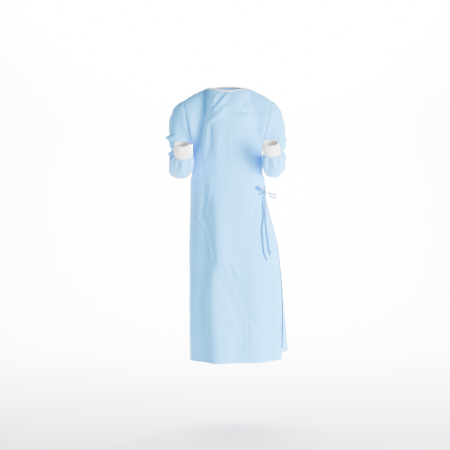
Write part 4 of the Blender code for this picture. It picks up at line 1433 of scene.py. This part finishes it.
def sleeve_relief(which):
    """The creases of one sleeve, its gathers and its rolled seams."""
    def relief(u, v, point):
        angle = (180 + TURNS[which] * u) % 360
        top = 0.5 + 0.5 * math.cos(math.radians(angle))
        if v < CAP_SHARE:
            station = (v / CAP_SHARE - 1) * lerp(0.03, 0.19, top)
        else:
            station = station_of(v)
        height = 0.0
        for at, middle, along, half, slant, rise in SLEEVE_CREASES[which]:
            turn = (angle - middle + 180) % 360 - 180
            offset = (station - at - slant * turn) / along
            if abs(offset) < 3 and abs(turn) < 3 * half:
                height += rise * math.exp(-abs(offset) ** 1.4 - (turn / half) ** 2)
        height += rumple(point, 0.030, 0.0018, SEEDS[which])
        height += rumple(point, 0.012, 0.0006, SEEDS[which] + 4)
        fine = math.cos(math.radians(19 * angle + 2000 * station))
        height += 0.0009 * fine * smooth(0.235, 0.272, station)
        height *= smooth(0.0, 0.10, v) * (1 - smooth(0.965, 1.0, v))
        down = v * SLEEVE_LENGTH
        pucker = 0.0005 * math.sin(math.radians(angle) * 34) * math.exp(-(down / 0.012) ** 2)
        return height + pucker + seam_dip(down) + seam_dip((1 - v) * SLEEVE_LENGTH, 0.0008)
    return relief


sleeves = {}
for which in ("right", "left"):
    sleeves[which] = lay_cloth(
        f"gown_sleeve_{which}", 112, 150, sleeve_place(which), sleeve_relief(which),
        SLEEVE_FLAT, (gown_cloth, "gown_cloth"), (f"sleeve_{which}",), tube=True)

# %% [markdown]
# ## Cuffs
# The cuffs are tubes of rib knit, soft and stretchy, whose ribs stand up along the wrist.
# A flat ribbed strip is rolled to a tube in the same way as the sleeves, each rib a rounded
# ridge of its own, and its free end turns in over a rolled rim. The knit's small rows of
# loops are the material's work.

# %% Cuffs
CUFF_RIBS = 36
RIB_HEIGHT = 0.0011
CUFF_WALL = 0.0022
CUFF_FLAT = {"left": (0.222, 0.052), "right": (0.222, 0.058)}
CUFF_SECTIONS = (
    # the same columns as the sleeve's
    (0.280, 0.0335, 0.0330, 0.0330),
    (0.296, 0.0365, 0.0345, 0.0345),
    (0.315, 0.0350, 0.0330, 0.0330),
    (0.336, 0.0305, 0.0300, 0.0300),
)


def cuff_place(which):
    """Where one cuff's grid goes: ribs round the wrist, and both ends turned in."""
    def place(u, v):
        angle = 180 + TURNS[which] * u
        station = lerp(CUFF_START, CUFF_END[which], v)
        wave = 0.5 + 0.5 * math.cos(math.radians(CUFF_RIBS * angle))
        rise = RIB_HEIGHT * wave ** 0.8 - 0.0012 * (smooth(0.93, 1.0, v) + 1 - smooth(0.0, 0.06, v))
        wobble = 0.0008 * math.sin(math.radians(3 * angle) + 5 * v) * smooth(0.3, 1.0, v)
        return around_arm(which, station, angle, CUFF_SECTIONS, 2.0, rise + wobble)
    return place


cuffs = {}
for which in ("right", "left"):
    cuffs[which] = lay_cloth(
        f"knit_cuff_{which}", CUFF_RIBS * 7, 26, cuff_place(which), lambda u, v, point: 0.0,
        CUFF_FLAT[which], (white_knit, "white_knit"), (f"cuff_{which}",), tube=True,
        wall=CUFF_WALL)

# %% [markdown]
# ## Neck binding
# The neckline's raw edge is bound with a narrow cream knit tape, folded over it and stitched
# through. It runs from the free edge of the outer back round the front to the free edge of the
# inner back. Its outline is a folded tape seen from its end: two lips that take in the cloth's
# edge, and a rounded fold above.

# %% Neck binding
BINDING_WIDTH = 0.0085
BINDING_THICK = 0.0028
BINDING_TAKE_IN = 0.0015    # how far the lips reach over the cloth's edge
BINDING_OUTLINE = (
    # across and up, in half widths and half thicknesses
    (-1.00, -0.70), (-0.90, -1.00), (-0.45, -0.97), (0.30, -1.00), (0.74, -0.86), (0.96, -0.45),
    (1.00, 0.00), (0.96, 0.45), (0.74, 0.86), (0.30, 1.00), (-0.45, 0.97), (-0.90, 1.00),
    (-1.00, 0.70), (-0.90, 0.58), (-0.50, 0.56), (-0.50, -0.56), (-0.90, -0.58),
)
neck_edge = [back_point(-1, 1 - 0.5 * k / 36, 0.0) for k in range(36)]
neck_edge += [front_point(0.5 * k / 32, 0.0) for k in range(-32, 33)]
neck_edge += [back_point(1, 0.5 + 0.5 * k / 36, 0.0) for k in range(1, 37)]


def binding_place(index):
    """The neck edge's way up and the binding's outward face there."""
    point = neck_edge[index]
    along = neck_edge[min(len(neck_edge) - 1, index + 1)] - neck_edge[max(0, index - 1)]
    aside = min(1.0, abs(point.x) / NECK_HALF)
    facing = -1 if point.y < NECK_SIDE[0] else 1
    face = Vector((math.copysign(0.50 * aside, point.x), facing * 0.80 * math.sqrt(1 - aside ** 2),
                   lerp(0.58, 0.87, aside))).normalized()
    return face.cross(along).normalized(), face


binding_route = []
for index, point in enumerate(neck_edge):
    across, face = binding_place(index)
    middle = point + across * (BINDING_WIDTH / 2 - BINDING_TAKE_IN) - face * WALL / 2
    binding_route.append((middle, across, 1.0))
binding = add_tape("neck_tape", binding_route, BINDING_OUTLINE, (BINDING_WIDTH, BINDING_THICK),
                   binding_knit, "white_knit", ("neck_binding",), 0.0003)
print("binding", round(route_length(binding_route), 3), "m long")

# %% [markdown]
# ## Neck fastening
# At the back of the neck the two backs are held together by a hook patch inside the outer
# back and a loop patch outside the inner one. They are thin rectangles that lie on the cloth.

# %% Neck fastening
PATCH_THICK = 0.0009
PATCH_ACROSS = (0.82, 0.995)
PATCH_DOWN = (0.06, 0.20)
PATCH_FLAT = (0.062, 0.024)


def patch_place(side, lift):
    """Where a patch lies on a back: outside it with a lift above 0, inside it below 0."""
    def place(u, v):
        across = lerp(*PATCH_ACROSS, u if side > 0 else 1 - u)
        down = lerp(*PATCH_DOWN, v)
        here = back_point(side, across, down)
        normal = (back_point(side, across + 0.01, down) - here).cross(
            back_point(side, across, down + 0.01) - here).normalized()
        return here + normal * math.copysign(lift, normal.y * lift)
    return place


def pile(u, v, point):
    """Loops and hooks stand unevenly, and the patch thins at its sealed edge."""
    rim = min(u, 1 - u, v, 1 - v)
    tufts = 0.00025 * noise.noise(point * 900) * smooth(0.0, 0.1, rim)
    return tufts - 0.0003 * (1 - smooth(0.0, 0.04, rim))


patches = {}
for name, side, lift, node in (("loop_patch", 1, PATCH_THICK + GAP, "neck_loop_patch"),
                               ("hook_patch", -1, -WALL - 4 * GAP, "neck_hook_patch")):
    patches[name] = lay_cloth(name, 60, 46, patch_place(side, lift), pile, PATCH_FLAT,
                              (fastener_pile, "hook_and_loop"), (node,), wall=PATCH_THICK)

# %% [markdown]
# ## Stitches
# All seams are sewn with a light blue thread, the knit with a white one. One stitch is
# modelled, a short thread whose ends dip into the cloth, and it is copied along each seam.
# The straight rows hold the hem, the turned edges, the binding and the patches. The slanting
# ones cross a join: shoulders, armholes, sides and cuffs.

# %% One stitch
bpy.ops.object.select_all(action="DESELECT")
bpy.ops.mesh.primitive_uv_sphere_add(segments=6, ring_count=5, radius=1.0, location=(0, 0, 0))
stitch = bpy.context.object
STITCH_POINTS = []
for vertex in stitch.data.vertices:
    x, y, z = vertex.co.z, vertex.co.y, vertex.co.x
    STITCH_POINTS.append((x, y * 0.00024, z * 0.00020 - 0.00035 * x * x + 0.00012))
STITCH_FACES = [tuple(face.vertices) for face in stitch.data.polygons]
bpy.data.objects.remove(stitch)
print("a stitch has", len(STITCH_FACES), "faces")

# %% [markdown]
# ## Sewing along a line
# A seam is followed in short steps over the form. At each stitch the nearest place on the
# finished cloths is looked up, so that the thread lies on them, and where two cloths meet
# it lies halfway between. All stitches of one seam are one object.

# %% Sewing along a line
SEAM_STEPS = 240
LOOK_FROM = 0.0025          # how far over the cloth the nearest place is looked up from


def facing(place, u, v):
    """A point of a piece and the way its face looks there."""
    here = place(u, v)
    across = place(u + 0.002, v) - here if u < 0.5 else here - place(u - 0.002, v)
    down = place(u, v + 0.002) - here if v < 0.5 else here - place(u, v - 0.002)
    return here, down.cross(across).normalized()


def sew(name, cloths, place, start, end, slant, thread, slot, pitch=0.0036, length=0.0027):
    """Copies of the stitch along a piece from start to end (u, v), laid on the cloths there."""
    shares = [k / SEAM_STEPS for k in range(SEAM_STEPS + 1)]
    track = [facing(place, lerp(start[0], end[0], t), lerp(start[1], end[1], t)) for t in shares]
    points, faces, gone = [], [], 0.0
    for (here, outward), (there, _) in zip(track, track[1:]):
        stretch = (there - here).length
        while gone < stretch:
            spot = here.lerp(there, gone / stretch)
            hits = [cloth.closest_point_on_mesh(spot + outward * LOOK_FROM)[1:3]
                    for cloth in cloths]
            middle = sum((hit[0] for hit in hits), Vector()) / len(hits)
            normal = sum((hit[1] for hit in hits), Vector()).normalized()
            if normal.dot(outward) > 0.3:
                way = (there - here) - normal * (there - here).dot(normal)
                way.rotate(Quaternion(normal, math.radians(slant)))
                way.normalize()
                aside, base = normal.cross(way), len(points)
                points += [middle + way * (x * length / 2) + aside * y + normal * z
                           for x, y, z in STITCH_POINTS]
                faces += [tuple(base + k for k in face) for face in STITCH_FACES]
            gone += pitch
        gone -= stretch
    piece = new_piece(name, points, faces)
    bpy.ops.object.shade_smooth()
    return dress(piece, thread, slot)


print("a seam is followed in", SEAM_STEPS, "steps")

# %% [markdown]
# ## Seams
# The hem and the turned edges are held by straight rows. The sides, shoulders and armholes
# are overlocked, so their stitches slant across the join. Each row of the table is one seam.

# %% Seams
OVERLOCK_DEG = 62
hem_row = 1 - (HEM_FOLD - STITCH_LINE) / (ARMPIT_Z - HEM_Z) * (1 - YOKE_SHARE)
edge_row = (EDGE_FOLD - STITCH_LINE) / BACK_WIDTH
SEAMS = [
    # name, cloths, place, from and to (u, v), slant
    ("hem_front", (front_piece,), front_place, (0.006, hem_row), (0.994, hem_row), 0),
    ("hem_outer", (outer_piece,), outer_place, (0.006, hem_row), (0.994, hem_row), 0),
    ("hem_inner", (inner_piece,), inner_place, (0.006, hem_row), (0.994, hem_row), 0),
    ("edge_outer", (outer_piece,), outer_place, (edge_row, 0.012), (edge_row, 0.984), 0),
    ("edge_inner", (inner_piece,), inner_place, (1 - edge_row, 0.012), (1 - edge_row, 0.984), 0),
]
for side, u, back, place, back_u in (("left", 1.0, inner_piece, inner_place, 0.0),
                                     ("right", 0.0, outer_piece, outer_place, 1.0)):
    both, sleeve = (front_piece, back), sleeves[side]
    from_neck, to_point = abs(u - 0.235), abs(u - 0.005)
    SEAMS += [
        (f"side_{side}", both, front_place, (u, 0.224), (u, 0.985), OVERLOCK_DEG),
        (f"shoulder_{side}", both, front_place, (from_neck, 0.0), (to_point, 0.0), OVERLOCK_DEG),
        (f"armhole_{side}_front", (front_piece, sleeve), front_place, (u, 0.003), (u, 0.217),
         OVERLOCK_DEG),
        (f"armhole_{side}_back", (back, sleeve), place, (back_u, 0.003), (back_u, 0.217),
         OVERLOCK_DEG),
    ]
for name, cloths, place, start, end, slant in SEAMS:
    sew(f"stitches_{name}", cloths, place, start, end, slant, blue_thread,
                         "gown_cloth")

# %% [markdown]
# ## Stitches of the cuffs, the patches and the binding
# These are sewn with white thread. The cuff is overlocked to the sleeve's end, each patch has
# a row along its four sides, and one row goes through the binding near its lips.

# %% Stitches of the cuffs, the patches and the binding
PATCH_CORNERS = ((0.04, 0.1), (0.96, 0.1), (0.96, 0.9), (0.04, 0.9))
for which in ("left", "right"):
    sew(
        f"stitches_cuff_{which}", (sleeves[which], cuffs[which]), sleeve_place(which),
        (0.0, 1.0), (1.0, 1.0), 70, white_thread, "white_knit", 0.0030, 0.0030)
for name, side in (("loop_patch", 1), ("hook_patch", -1)):
    place = patch_place(side, PATCH_THICK + GAP if side > 0 else 0.0001)
    cloth = patches[name] if side > 0 else outer_piece
    for k, (start, end) in enumerate(zip(PATCH_CORNERS, PATCH_CORNERS[1:] + PATCH_CORNERS[:1])):
        sew(f"stitches_{name}_{k}", (cloth,), place, start, end, 0,
                                      white_thread, "white_knit")


def binding_front(u, v):
    """The binding's outward face: u along the neck, v across it, for its row of stitches."""
    index = min(len(neck_edge) - 2, int(u * (len(neck_edge) - 1)))
    share = u * (len(neck_edge) - 1) - index
    ends = []
    for middle, across, _ in binding_route[index:index + 2]:
        face = binding_place(index)[1]
        ends.append(middle - across * ((v - 0.5) * BINDING_WIDTH) + face * BINDING_THICK / 2)
    return ends[0].lerp(ends[1], share)


sew("stitches_binding", (binding,), binding_front, (0.005, 0.78),
                          (0.995, 0.78), 0, white_thread, "white_knit", 0.0030, 0.0022)

# %% [markdown]
# ## What the cloth was cut to
# Each sheet's flat size is what a cutter would draw: the widest and longest reach of the
# piece's own grid. These sizes are given with each piece above, and each piece prints its
# true area, which is smaller because the panels narrow towards the neck.

# %% Sheets
print("the flat sizes are given with each piece above")

# %% [markdown] ## Finish The dressed gown has to keep the CAD model's box.

# %% Finish
NEW_BOX = [list(corner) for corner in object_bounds()]
for axis in range(3):
    size = CAD_BOX[1][axis] - CAD_BOX[0][axis]
    grown = NEW_BOX[1][axis] - NEW_BOX[0][axis]
    print("XYZ"[axis], "was", round(size, 4), "is", round(grown, 4))
